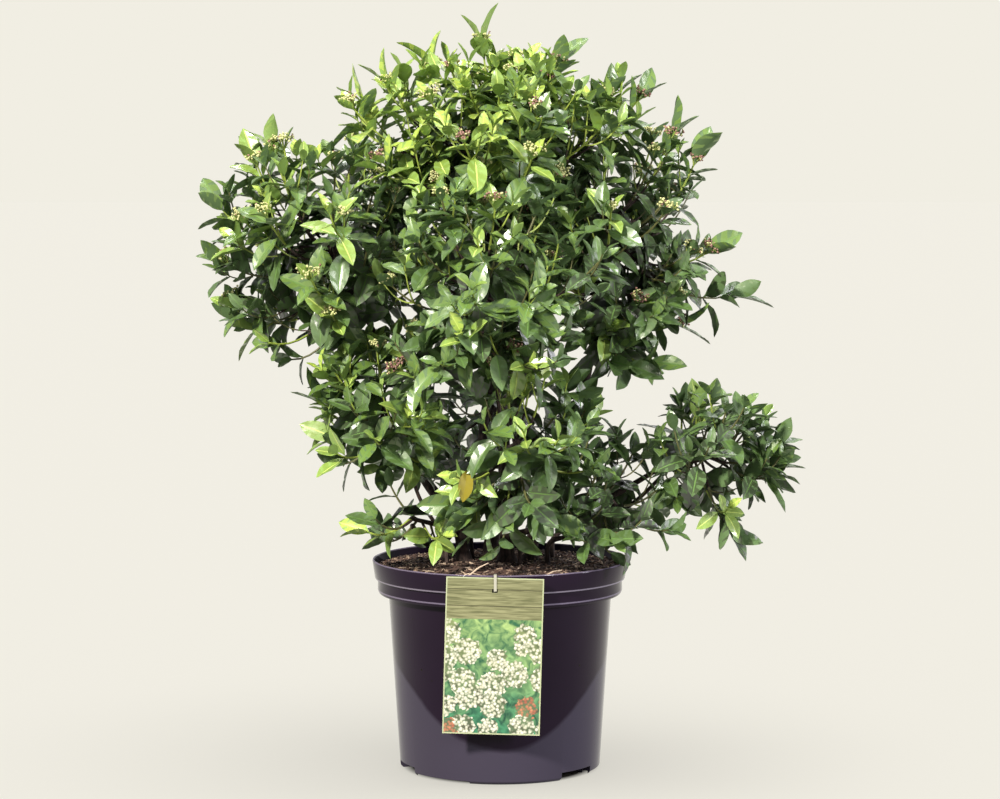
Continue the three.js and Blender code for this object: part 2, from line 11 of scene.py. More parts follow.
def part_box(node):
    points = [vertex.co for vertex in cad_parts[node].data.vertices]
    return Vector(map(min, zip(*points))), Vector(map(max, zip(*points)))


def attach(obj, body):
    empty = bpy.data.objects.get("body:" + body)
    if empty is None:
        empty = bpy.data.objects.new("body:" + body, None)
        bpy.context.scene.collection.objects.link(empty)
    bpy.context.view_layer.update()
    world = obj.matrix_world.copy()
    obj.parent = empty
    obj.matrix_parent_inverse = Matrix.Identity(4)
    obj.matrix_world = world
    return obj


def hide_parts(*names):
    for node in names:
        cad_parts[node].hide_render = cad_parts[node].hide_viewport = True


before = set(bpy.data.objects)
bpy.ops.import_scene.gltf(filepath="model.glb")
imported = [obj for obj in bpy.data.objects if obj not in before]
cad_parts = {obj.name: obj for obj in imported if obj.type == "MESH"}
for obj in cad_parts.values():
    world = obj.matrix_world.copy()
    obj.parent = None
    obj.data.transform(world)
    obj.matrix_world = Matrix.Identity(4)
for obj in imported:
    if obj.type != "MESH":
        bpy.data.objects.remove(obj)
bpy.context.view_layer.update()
bpy.ops.object.select_all(action="DESELECT")
mm = 0.001
up = Vector((0, 0, 1))


# Helpers for materials
def linear(hexColour):
    # an sRGB hex value turned to linear light
    parts = [int(hexColour[i : i + 2], 16) / 255 for i in (1, 3, 5)]
    return (*[c / 12.92 if c <= 0.04045 else ((c + 0.055) / 1.055) ** 2.4 for c in parts], 1)


def addNode(material, kind, inputs=None, **settings):
    # one node: its settings, then each input as a value, a hex colour, or a node or output to join to it
    tree = material.node_tree
    made = tree.nodes.new("ShaderNode" + kind)
    for key, value in settings.items():
        setattr(made, key, value)
    for key, value in (inputs or {}).items():
        if isinstance(value, bpy.types.Node):
            # a mix of colours has its result third, any other node here has it first
            value = value.outputs[2 if value.bl_idname == "ShaderNodeMix" else 0]
        if isinstance(value, bpy.types.NodeSocket):
            tree.links.new(value, made.inputs[key])
        else:
            made.inputs[key].default_value = linear(value) if isinstance(value, str) else value
    return made


def newMaterial(name, colour, roughness, ior=1.46):
    material = bpy.data.materials.new(name)
    material.use_nodes = True
    shader = material.node_tree.nodes["Principled BSDF"]
    shader.inputs["Base Color"].default_value = linear(colour)
    shader.inputs["Roughness"].default_value = roughness
    shader.inputs["IOR"].default_value = ior
    return material, shader


def join(material, source, target):
    material.node_tree.links.new(source, target)


def surfaceDetail(material, shader, grain, strength, depth, rough):
    # a fine unevenness of one real grain size, in the relief and in the gloss
    place = addNode(material, "TexCoord")
    speckle = addNode(
        material, "TexNoise", {"Vector": place.outputs["Object"], "Scale": 1 / (grain * mm), "Detail": 3}
    )
    gloss = addNode(
        material,
        "MapRange",
        {"Value": speckle, "From Min": 0.3, "From Max": 0.7, "To Min": rough[0], "To Max": rough[1]},
    )
    join(material, gloss.outputs[0], shader.inputs["Roughness"])
    relief = addNode(material, "Bump", {"Height": speckle, "Strength": strength, "Distance": depth * mm})
    join(material, relief.outputs[0], shader.inputs["Normal"])
    return speckle


# Helpers for meshes
def pieceFrom(name, points, faces, materials, slots=None, smoothAngle=None):
    # a joined mesh from arrays, its places in millimetres
    mesh = bpy.data.meshes.new(name)
    mesh.from_pydata((np.asarray(points, float) * mm).tolist(), [], faces)
    for material in materials:
        mesh.materials.append(material)
    if slots is not None:
        mesh.polygons.foreach_set("material_index", slots)
    mesh.update()
    piece = bpy.data.objects.new(name, mesh)
    bpy.context.scene.collection.objects.link(piece)
    if smoothAngle:
        smooth(piece, smoothAngle)
    return piece


def choose(piece):
    bpy.ops.object.select_all(action="DESELECT")
    piece.select_set(True)
    bpy.context.view_layer.objects.active = piece


def smooth(piece, degrees):
    choose(piece)
    bpy.ops.object.shade_smooth_by_angle(angle=math.radians(degrees))


def turnedRings(rings, facets):
    # a closed turned shape: one circle, extruded and widened ring by ring, then capped
    radius, height = rings[0]
    bpy.ops.object.select_all(action="DESELECT")
    bpy.ops.mesh.primitive_circle_add(
        vertices=facets, radius=radius * mm, fill_type="NGON", location=(0, 0, height * mm)
    )
    piece = bpy.context.object
    bpy.ops.object.transform_apply(location=True)
    bpy.ops.object.mode_set(mode="EDIT")
    bpy.ops.mesh.select_mode(type="EDGE")
    bpy.ops.mesh.select_all(action="SELECT")
    for nextRadius, nextHeight in rings[1:]:
        bpy.ops.mesh.extrude_edges_move(TRANSFORM_OT_translate={"value": (0, 0, (nextHeight - height) * mm)})
        widen = nextRadius / radius
        bpy.ops.transform.resize(value=(widen, widen, 1), center_override=(0, 0, 0))
        radius, height = nextRadius, nextHeight
    bpy.ops.mesh.edge_face_add()
    bpy.ops.mesh.select_all(action="SELECT")
    bpy.ops.mesh.normals_make_consistent(inside=False)
    return piece


def finishPiece(piece, name, slot, *nodes):
    piece.name = name
    piece.data.name = name
    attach(piece, "root")
    if nodes:
        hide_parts(*nodes)


# Camera, floor and light
studio = {
    "cameraAt": (0, -3400, 690),
    "cameraTilt": 4.8,  # degrees below level
    "lens": 112.4,
    "seenSky": ("#F1EEE3", 1.0),
    "softSky": ("#F4F5FA", 0.38),
    "floor": "#9F9C93",
    "floorHalf": 30000,
    "floorGlow": ("#F1EEE3", 0.62),  # the paper's glow all round softens the shadow under the plant
    "glowFrom": (96, 107),  # from the middle: no glow under the pot, a painted shadow there, and in full beside it
    # where each light comes from, its softness in degrees, strength, colour, and if it lights the paper alone
    "suns": {
        "key": ((-0.6, -0.8, 0.66), 6, 6.1, "#FFFAEE", False),
        "top": ((-0.1, 0.28, 1), 14, 2.0, "#FFFFFF", False),
        "fill": ((0.8, -0.75, 0.36), 12, 2.5, "#FAFAF8", False),
        "edge": ((1, -0.1, 0.12), 12, 0.9, "#EFEEF8", False),
        "back": ((0.35, 0.9, 0.5), 40, 0.5, "#FFFFFF", False),
        "paper": ((0.05, -0.1, 1), 60, 1.86, "#FFFFFF", True),
    },
}


def setStudio():
    scene = bpy.context.scene
    scene.view_settings.view_transform = "Standard"
    lens = bpy.data.cameras.new("camera")
    lens.lens = studio["lens"]
    lens.sensor_width = 36
    lens.clip_end = 60
    eye = bpy.data.objects.new("camera", lens)
    eye.location = Vector(studio["cameraAt"]) * mm
    eye.rotation_euler = (math.radians(90 - studio["cameraTilt"]), 0, 0)
    scene.collection.objects.link(eye)
    scene.camera = eye

    # the paper's colour shows behind, and a dimmer, cooler sky lights the plant
    world = bpy.data.worlds.new("studioSky")
    world.use_nodes = True
    colour, strength = studio["softSky"]
    soft = world.node_tree.nodes["Background"]
    soft.inputs["Color"].default_value = linear(colour)
    soft.inputs["Strength"].default_value = strength
    colour, strength = studio["seenSky"]
    seen = addNode(world, "Background", {"Color": colour, "Strength": strength})
    path = addNode(world, "LightPath")
    sky = addNode(world, "MixShader", {0: path.outputs["Is Camera Ray"], 1: soft, 2: seen})
    join(world, sky.outputs[0], world.node_tree.nodes["World Output"].inputs[0])
    scene.world = world

    # matte paper; its glow shows to the eye and in the pot's gloss, but lights no leaves from below
    paper, shader = newMaterial("mattePaperFloor", studio["floor"], 0.9)
    colour, strength = studio["floorGlow"]
    shader.inputs["Emission Color"].default_value = linear(colour)
    path = addNode(paper, "LightPath")
    glow = addNode(
        paper, "Math", {0: path.outputs["Is Diffuse Ray"], 1: -strength, 2: strength}, operation="MULTIPLY_ADD"
    )
    place = addNode(paper, "TexCoord")
    away = addNode(paper, "VectorMath", {0: place.outputs["Object"]}, operation="LENGTH")
    none, full = studio["glowFrom"]
    # painted shadow: no glow under the pot, so the floor seen through the drain slots is dark
    beside = addNode(
        paper, "MapRange", {"Value": away.outputs["Value"], "From Min": none * mm, "From Max": full * mm}
    )
    glowBeside = addNode(paper, "Math", {0: glow, 1: beside}, operation="MULTIPLY")
    join(paper, glowBeside.outputs[0], shader.inputs["Emission Strength"])
    surfaceDetail(paper, shader, 3, 0.05, 0.1, (0.85, 0.95))
    half = studio["floorHalf"]
    corners = [(-half, -half, 0), (half, -half, 0), (half, half, 0), (-half, half, 0)]
    floor = pieceFrom("paperFloor", corners, [(0, 1, 2, 3)], [paper])

    for name, (place, softness, strength, colour, paperAlone) in studio["suns"].items():
        lamp = bpy.data.lights.new(name, "SUN")
        lamp.angle = math.radians(softness)
        lamp.energy = strength
        lamp.color = linear(colour)[:3]
        holder = bpy.data.objects.new(name, lamp)
        holder.location = Vector(place) * 3
        holder.rotation_euler = Vector(place).to_track_quat("Z", "Y").to_euler()
        scene.collection.objects.link(holder)
        # the paper has an overhead light of its own, so the others draw no shadow across it
        group = bpy.data.collections.new(name + "Reach")
        group.objects.link(floor)
        group.collection_objects[0].light_linking.link_state = "INCLUDE" if paperAlone else "EXCLUDE"
        holder.light_linking.receiver_collection = group
    print("studio set")


# The pot: injection moulded polypropylene, aubergine black, glossy from the polished mould
pot = {
    "facets": 128,
    # outside, from the middle pad to the rim, then inside, from the rim to the floor: radius, height
    "outside": [(45, 0), (48, 4), (90.8, 4), (93.8, 0), (106.8, 0), (109.8, 3), (122, 191.5), (132.5, 193),
                (134, 196), (134, 208.5), (137, 209), (140, 228.5), (139.4, 230)],
    "inside": [(138, 230), (137.3, 228.5), (134.8, 210.6), (131.8, 209.6), (131.8, 196.8), (130.6, 195),
               (119.9, 193.4), (107.6, 7.2), (106.6, 6.2)],
    "edgeRound": 0.7,
    "skin": ("#180E1C", "#1F1425"),
    "gloss": (0.07, 0.13),
    "mirror": 0.13,  # low, so that the pale room doesn't bleach the dark wall
    "crumb": "#15100F",  # specks of soil that stick to the wall
    # the colour of the painted reflection of the pale floor on the lower wall
    "paintedFloorReflection": "#3E3947",
    "paintedReflectionTop": (42, 48),  # the height where the painted floor reflection fades out, at the middle of the front
    "paintedReflectionRise": 6.5,  # how steeply that height rises towards the sides
    # painted highlights along the rim's top and the band steps: their height and colour, then how wide
    "paintedHighlightEdges": [(229.6, "#6E6577"), (210.0, "#8A8292"), (196.8, "#756C80")],
    "paintedHighlightWide": (0.4, 1.1),
    # drain slots through the foot and shallow reliefs beside them: degrees from +X, size, and how far out
    "slots": [-40, 80, 200],
    "slotSize": (46, 49, 18),
    "slotFar": 104,
    "reliefTurn": 33,
    "reliefSize": (30, 72, 6),
    "reliefFar": 109,
}


def pottedPlastic():
    # moulded polypropylene: a deep gloss with faint flow marks about 70 mm wide
    plastic, shader = newMaterial("mouldedPolypropylene", pot["skin"][0], pot["gloss"][0], 1.49)
    shader.inputs["Specular IOR Level"].default_value = pot["mirror"]
    place = addNode(plastic, "TexCoord")
    spot = place.outputs["Object"]
    split = addNode(plastic, "SeparateXYZ", {"Vector": spot})
    across, height = split.outputs["X"], split.outputs["Z"]
    flow = addNode(plastic, "TexNoise", {"Vector": spot, "Scale": 14, "Detail": 3})
    smoothest, dullest = pot["gloss"]
    gloss = addNode(
        plastic,
        "MapRange",
        {"Value": flow, "From Min": 0.35, "From Max": 0.65, "To Min": smoothest, "To Max": dullest},
    )
    join(plastic, gloss.outputs[0], shader.inputs["Roughness"])
    # crumbs of potting soil up to 3 mm wide in some cells of 10 mm, rarer towards the rim
    cells = addNode(plastic, "TexVoronoi", {"Vector": spot, "Scale": 95, "Randomness": 1})
    pick = addNode(plastic, "SeparateColor", {"Color": cells.outputs["Color"]})
    rare = addNode(
        plastic, "MapRange", {"Value": height, "From Min": 0, "From Max": 0.2, "To Min": 0.24, "To Max": 0.06}
    )
    chosen = addNode(plastic, "Math", {0: pick, 1: rare}, operation="LESS_THAN")
    small = addNode(plastic, "Math", {0: cells, 1: 0.13}, operation="LESS_THAN")
    crumb = addNode(plastic, "Math", {0: chosen, 1: small}, operation="MULTIPLY")
    dark, light = pot["skin"]
    skin = addNode(plastic, "Mix", {0: flow, 6: dark, 7: light}, data_type="RGBA")
    dirty = addNode(plastic, "Mix", {0: crumb, 6: skin, 7: pot["crumb"]}, data_type="RGBA")
    # the lower wall painted paler: a painted reflection of the pale floor, with an arched edge, low in front
    # and behind
    arch = addNode(plastic, "Math", {0: across, 1: across}, operation="MULTIPLY")
    arched = addNode(plastic, "Math", {0: arch, 1: -pot["paintedReflectionRise"], 2: height}, operation="MULTIPLY_ADD")
    uneven = addNode(plastic, "Math", {0: flow, 1: 0.016, 2: arched}, operation="MULTIPLY_ADD")
    full, none = pot["paintedReflectionTop"]
    paintedReflectionShare = addNode(
        plastic,
        "MapRange",
        {"Value": uneven, "From Min": full * mm, "From Max": none * mm, "To Min": 0.9, "To Max": 0},
    )
    toned = addNode(plastic, "Mix", {0: paintedReflectionShare, 6: dirty, 7: pot["paintedFloorReflection"]}, data_type="RGBA")
    # edges of the rim and its bands painted paler: painted highlights that draw thin light lines
    full, none = pot["paintedHighlightWide"]
    for high, colour in pot["paintedHighlightEdges"]:
        above = addNode(plastic, "Math", {0: height, 1: high * mm}, operation="SUBTRACT")
        away = addNode(plastic, "Math", {0: above}, operation="ABSOLUTE")
        share = addNode(
            plastic,
            "MapRange",
            {"Value": away, "From Min": full * mm, "From Max": none * mm, "To Min": 0.8, "To Max": 0},
        )
        toned = addNode(plastic, "Mix", {0: share, 6: toned, 7: colour}, data_type="RGBA")
    join(plastic, toned.outputs[2], shader.inputs["Base Color"])
    relief = addNode(plastic, "Bump", {"Height": crumb, "Strength": 0.2, "Distance": 0.3 * mm})
    join(plastic, relief.outputs[0], shader.inputs["Normal"])
    return plastic


def cutBox(piece, size, radius, turn):
    # a box cut out of the foot at a turn round the pot
    bpy.ops.object.select_all(action="DESELECT")
    bpy.ops.mesh.primitive_cube_add(size=mm)
    cutter = bpy.context.object
    cutter.scale = size
    angle = math.radians(turn)
    cutter.rotation_euler = (0, 0, angle)
    cutter.location = (radius * mm * math.cos(angle), radius * mm * math.sin(angle), 0)
    bpy.ops.object.transform_apply()
    choose(piece)
    cut = piece.modifiers.new("cut", "BOOLEAN")
    cut.operation = "DIFFERENCE"
    cut.solver = "EXACT"
    cut.object = cutter
    bpy.ops.object.modifier_apply(modifier=cut.name)
    bpy.data.objects.remove(cutter)


def modelPot():
    piece = turnedRings(pot["outside"] + pot["inside"], pot["facets"])
    bpy.ops.mesh.select_all(action="DESELECT")
    bpy.ops.mesh.edges_select_sharp(sharpness=math.radians(18))
    bpy.ops.mesh.bevel(offset=pot["edgeRound"] * mm, segments=2, affect="EDGES")
    bpy.ops.object.mode_set(mode="OBJECT")
    for turn in pot["slots"]:
        cutBox(piece, pot["slotSize"], pot["slotFar"], turn)
        cutBox(piece, pot["reliefSize"], pot["reliefFar"], turn + pot["reliefTurn"])
    piece.data.materials.append(pottedPlastic())
    smooth(piece, 24)
    finishPiece(piece, "nurseryPot", "pot", "pot")
    print("pot modelled", len(piece.data.polygons), "faces")


# Potting soil: dark peat with bark chips and fibres, slightly domed
soil = {
    "wallGap": 0.35,
    "rings": 26,
    "facets": 96,
    "radius": 134,
    "floorRadius": 104,  # at the bottom of the pot
    "flatShare": 0.45,  # of the radius, before it falls to the edge
    "edgeZ": 222,
    "middleZ": 227.4,
    "rough": 1.6,
    "peat": ("#261813", "#61483C"),
    # what lies on it: colour, and how often it is dealt
    "chips": 2600,
    "chipKinds": {
        "compostedBark": ("#543F36", 5),
        "paleFibre": ("#B6A18D", 2.0),
        "darkPeatCrumb": ("#2F221E", 6),
        "weatheredChip": ("#806A5A", 2.4),
    },
    "chipLong": (2.5, 9),
    "chipWide": (1.2, 3.4),
    "fibreWide": (0.5, 1.1),
    "chipThick": (0.5, 1.3),
    # three longer dry sticks, each from end to end with its half-thickness
    "sticks": [
        ((-36, -121, 225), (-12, -106, 239), 1.1),
        ((44, -112, 224), (66, -104, 231), 0.8),
        ((-84, -88, 224), (-70, -100, 229), 0.7),
    ],
}


def soilHeight(x, y):
    far = min(1, math.hypot(x, y) / soil["radius"])
    fall = max(0, (far - soil["flatShare"]) / (1 - soil["flatShare"]))
    base = soil["middleZ"] - (soil["middleZ"] - soil["edgeZ"]) * fall
    clods = soil["rough"] * noise.noise(Vector((x, y, 0)) / 16)
    lumps = 0.5 * noise.noise(Vector((x, y, 9)) / 5)
    return base + clods + lumps - 0.6


def modelSoil():
    gap, edge = soil["wallGap"], soil["edgeZ"]
    below = [(radius - gap, z) for radius, z in reversed(pot["inside"][2:-1])]
    outer = below[-1][0] + 1.1  # the wall still widens a little up to the soil's edge
    rings = [(soil["floorRadius"], below[0][1] + gap), *below[1:], (outer, edge)]
    rings += [(outer * (1 - i / soil["rings"]), edge + 0.1 * i) for i in range(1, soil["rings"])]
    piece = turnedRings(rings, soil["facets"])
    bpy.ops.object.mode_set(mode="OBJECT")
    for vertex in piece.data.vertices:
        if vertex.co.z > (edge - 1) * mm:
            vertex.co.z = soilHeight(vertex.co.x / mm, vertex.co.y / mm) * mm
    # moist peat: dull, in crumbs of two browns
    dark, light = soil["peat"]
    peat, shader = newMaterial("peatPottingSoil", dark, 0.9)
    crumbs = surfaceDetail(peat, shader, 3.5, 0.9, 1.2, (0.75, 0.98))
    tint = addNode(peat, "Mix", {0: crumbs, 6: dark, 7: light}, data_type="RGBA")
    join(peat, tint.outputs[2], shader.inputs["Base Color"])
    piece.data.materials.append(peat)
    smooth(piece, 40)
    finishPiece(piece, "pottingSoil", "soil", "potting_soil")
    layChips()


def layChips():
    # bark chips and fibres lying on the soil, joined into one piece; dry wood, dull and paler than the peat
    materials = []
    for name, (colour, _) in soil["chipKinds"].items():
        chip, shader = newMaterial(name, colour, 0.8)
        surfaceDetail(chip, shader, 1.5, 0.6, 0.4, (0.65, 0.95))
        materials.append(chip)
    shares = [often for _, often in soil["chipKinds"].values()]
    fibre = list(soil["chipKinds"]).index("paleFibre")
    draw = random.Random(41)
    box = [Vector((x, y, z)) for x in (-0.5, 0.5) for y in (-0.5, 0.5) for z in (-0.5, 0.5)]
    sides = [(0, 1, 3, 2), (4, 6, 7, 5), (0, 4, 5, 1), (2, 3, 7, 6), (0, 2, 6, 4), (1, 5, 7, 3)]
    points, faces, slots = [], [], []
    for _ in range(soil["chips"]):
        far = (soil["radius"] - 1) * math.sqrt(draw.random())
        around = draw.uniform(0, 2 * math.pi)
        x, y = far * math.cos(around), far * math.sin(around)
        slot = draw.choices(range(len(shares)), shares)[0]
        long = draw.uniform(*soil["chipLong"]) * (1.3 if slot == fibre else 0.85)
        wide = draw.uniform(*soil["fibreWide" if slot == fibre else "chipWide"])
        long = min(long, (soil["radius"] + 0.5 - far) * 2 + 2.4)  # none pokes through the wall
        thick = draw.uniform(*soil["chipThick"])
        turn = Matrix.Rotation(draw.uniform(0, 6.28), 3, "Z") @ Matrix.Rotation(draw.uniform(-0.4, 0.4), 3, "Y")
        turn = turn @ Matrix.Rotation(draw.uniform(-0.5, 0.5), 3, "X")
        middle = Vector((x, y, soilHeight(x, y) + thick * 0.5))
        first = len(points)
        for corner in box:
            narrow = 0.55 if corner.x > 0 else 1
            nudge = Vector([draw.uniform(-0.14, 0.14) * size for size in (long * 0.5, wide, thick)])
            place = Vector((corner.x * long, corner.y * wide * narrow, corner.z * thick))
            points.append(middle + turn @ (place + nudge))
        faces += [[first + i for i in side] for side in sides]
        slots += [slot] * len(sides)
    for start, end, thick in soil["sticks"]:
        # a stick: three square rings, the middle one raised and the end one half as thick
        first = len(points)
        start, end = Vector(start), Vector(end)
        along = (end - start).normalized()
        side = along.cross(up).normalized() * thick
        over = side.cross(along)
        for place, narrow in ((start, 1), (start.lerp(end, 0.55) + up * 2, 0.9), (end, 0.5)):
            points += [place + (side * a + over * b) * narrow for a, b in ((1, 0), (0, 1), (-1, 0), (0, -1))]
        for ring in (first, first + 4):
            faces += [[ring + k, ring + 4 + k, ring + 4 + (k + 1) % 4, ring + (k + 1) % 4] for k in range(4)]
        faces += [[first, first + 1, first + 2, first + 3], [first + 11, first + 10, first + 9, first + 8]]
        slots += [fibre] * 10
    chips = pieceFrom("barkChips", points, faces, materials, slots)
    finishPiece(chips, "barkChips", "soil")
    print("soil and", soil["chips"], "chips laid")


# The picture card: a printed plastic label, weathered boards above and white flowers below
card = {
    "size": (103, 167),
    "roll": 1.6,  # degrees, clockwise from the front
    "margin": 1.3,
    "boardShare": 0.265,
    "boardJoints": (14.0, 31.5),  # above the lower edge of the boards
    "head": 27,  # from one printed flower head to the next
    "headRadius": 0.54,  # of that spacing
    "headsBelow": 31,
    "floret": 3,
    "rustFrom": 0.82,  # heads dealt a higher number than this are rust-red
}


def printedCard():
    # offset print under a gloss film on polypropylene sheet
    paper, shader = newMaterial("printedPlasticLabel", "#D8DCC8", 0.32, 1.5)
    wide, tall = card["size"]
    corner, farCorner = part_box("tag_card")
    place = addNode(paper, "TexCoord")
    # millimetres from the middle of the card, turned as it hangs
    local = addNode(
        paper,
        "Mapping",
        {
            "Vector": place.outputs["Object"],
            "Location": (corner + farCorner) / 2,
            "Rotation": (0, math.radians(card["roll"]), 0),
            "Scale": (mm, mm, mm),
        },
        vector_type="TEXTURE",
    )
    split = addNode(paper, "SeparateXYZ", {"Vector": local})
    x, z = split.outputs["X"], split.outputs["Z"]
    flat = addNode(paper, "CombineXYZ", {"X": x, "Y": z})
    # foliage behind: long soft strokes of two greens, brighter towards the top
    strokes = addNode(paper, "TexNoise", {"Vector": flat, "Scale": 0.1, "Detail": 2.5, "Distortion": 1.2})
    patch = addNode(paper, "TexNoise", {"Vector": flat, "Scale": 0.035, "Detail": 1})
    rising = addNode(paper, "MapRange", {"Value": z, "From Min": -80, "From Max": 40})
    sharp = addNode(paper, "MapRange", {"Value": strokes, "From Min": 0.32, "From Max": 0.7})
    shadeGreen = addNode(paper, "Mix", {0: sharp, 6: "#0D352A", 7: "#41805C"}, data_type="RGBA")
    sunGreen = addNode(paper, "Mix", {0: sharp, 6: "#2F6240", 7: "#A9BD74"}, data_type="RGBA")
    patchy = addNode(paper, "Math", {0: patch, 1: 0.8, 2: -0.4}, operation="MULTIPLY_ADD")
    sunny = addNode(paper, "Math", {0: rising, 1: 0.75, 2: patchy}, operation="MULTIPLY_ADD", use_clamp=True)
    leafy = addNode(paper, "Mix", {0: sunny, 6: shadeGreen, 7: sunGreen}, data_type="RGBA")
    # flower heads: ragged round clumps of florets, some still rust-red in bud
    wobble = addNode(paper, "TexNoise", {"Vector": flat, "Scale": 0.2, "Detail": 2})
    ragged = addNode(
        paper, "VectorMath", {0: wobble.outputs["Color"], 1: (10, 10, 10), 2: flat}, operation="MULTIPLY_ADD"
    )
    heads = addNode(paper, "TexVoronoi", {"Vector": ragged, "Scale": 1 / card["head"], "Randomness": 0.6})
    florets = addNode(paper, "TexVoronoi", {"Vector": flat, "Scale": 1 / card["floret"], "Randomness": 1})
    kind = addNode(paper, "SeparateColor", {"Color": heads.outputs["Color"]})
    tone = addNode(paper, "SeparateColor", {"Color": florets.outputs["Color"]}).outputs[1]
    near = addNode(paper, "Math", {0: heads, 1: card["headRadius"]}, operation="LESS_THAN")
    middle = addNode(paper, "SeparateXYZ", {"Vector": heads.outputs["Position"]})
    lowEnough = addNode(
        paper, "Math", {0: middle.outputs["Y"], 1: card["headsBelow"]}, operation="LESS_THAN"
    )
    inHead = addNode(paper, "Math", {0: near, 1: lowEnough}, operation="MULTIPLY")
    white = addNode(paper, "Mix", {0: tone, 6: "#DAD8C8", 7: "#B7B59E"}, data_type="RGBA")
    rust = addNode(paper, "Mix", {0: tone, 6: "#B97E5E", 7: "#8F5040"}, data_type="RGBA")
    inBud = addNode(paper, "Math", {0: kind, 1: card["rustFrom"]}, operation="GREATER_THAN")
    petals = addNode(paper, "Mix", {0: inBud, 6: white, 7: rust}, data_type="RGBA")
    between = addNode(paper, "Mix", {0: 0.55, 6: leafy, 7: "#5A4F3C"}, data_type="RGBA")
    gap = addNode(paper, "MapRange", {"Value": florets, "From Min": 0.3, "From Max": 0.72})
    flowers = addNode(paper, "Mix", {0: gap, 6: petals, 7: between}, data_type="RGBA")
    picture = addNode(paper, "Mix", {0: inHead, 6: leafy, 7: flowers}, data_type="RGBA")
    # weathered boards: long grain, two joints, a few dark knots
    stretched = addNode(paper, "VectorMath", {0: flat, 1: (0.02, 0.32, 1)}, operation="MULTIPLY")
    grain = addNode(paper, "TexNoise", {"Vector": stretched, "Scale": 1.6, "Detail": 6, "Distortion": 0.6})
    toned = addNode(paper, "MapRange", {"Value": grain, "From Min": 0.35, "From Max": 0.68})
    boards = addNode(paper, "Mix", {0: toned, 6: "#57583A", 7: "#8B8A66"}, data_type="RGBA")
    bandFloor = tall * (0.5 - card["boardShare"])
    for joint in card["boardJoints"]:
        above = addNode(paper, "Math", {0: z, 1: bandFloor + joint}, operation="SUBTRACT")
        away = addNode(paper, "Math", {0: above}, operation="ABSOLUTE")
        inJoint = addNode(paper, "Math", {0: away, 1: 0.45}, operation="LESS_THAN")
        boards = addNode(paper, "Mix", {0: inJoint, 6: boards, 7: "#45422C"}, data_type="RGBA")
    spots = addNode(paper, "TexVoronoi", {"Vector": flat, "Scale": 0.045, "Randomness": 1})
    knot = addNode(paper, "Math", {0: spots, 1: 0.09}, operation="LESS_THAN")
    boards = addNode(paper, "Mix", {0: knot, 6: boards, 7: "#3D3522"}, data_type="RGBA")
    onBoards = addNode(paper, "Math", {0: z, 1: bandFloor}, operation="GREATER_THAN")
    printed = addNode(paper, "Mix", {0: onBoards, 6: picture, 7: boards}, data_type="RGBA")
    # unprinted: the margin, the edges and the back
    unprinted = addNode(paper, "Math", {0: split.outputs["Y"], 1: -0.3}, operation="GREATER_THAN")
    for along, half in ((x, wide / 2), (z, tall / 2)):
        away = addNode(paper, "Math", {0: along}, operation="ABSOLUTE")
        beyond = addNode(paper, "Math", {0: away, 1: half - card["margin"]}, operation="GREATER_THAN")
        unprinted = addNode(paper, "Math", {0: unprinted, 1: beyond}, operation="MAXIMUM")
    face = addNode(paper, "Mix", {0: unprinted, 6: printed, 7: "#A3A986"}, data_type="RGBA")
    join(paper, face.outputs[2], shader.inputs["Base Color"])
    return paper


def dressCard():
    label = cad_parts["tag_card"]
    label.material_slots[0].material = printedCard()
    # extruded polypropylene strip: milky white, half matte
    strip, shader = newMaterial("whitePolypropyleneStrip", "#A3A092", 0.42, 1.49)
    surfaceDetail(strip, shader, 1.2, 0.2, 0.1, (0.36, 0.5))
    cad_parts["tag_hook"].material_slots[0].material = strip
    print("card and strip finished")


# The plant's limbs, in the places that the solids have
ground = 228.35
flare = {"height": 16, "swell": 0.7, "buried": 6}
stems = {
    "main_stem": {"foot": (8, -4), "top": (-2, -14, 470), "radii": (9, 4.6), "bow": 9},
    "left_stem": {"foot": (-40, 4), "top": (-112, 2, 430), "radii": (7.5, 4.2), "bow": 12},
    "right_stem": {"foot": (34, 14), "top": (96, 20, 430), "radii": (7, 4.2), "bow": -10},
    "back_stem": {"foot": (-6, 46), "top": (-8, 112, 440), "radii": (7, 4.2), "bow": -12},
}
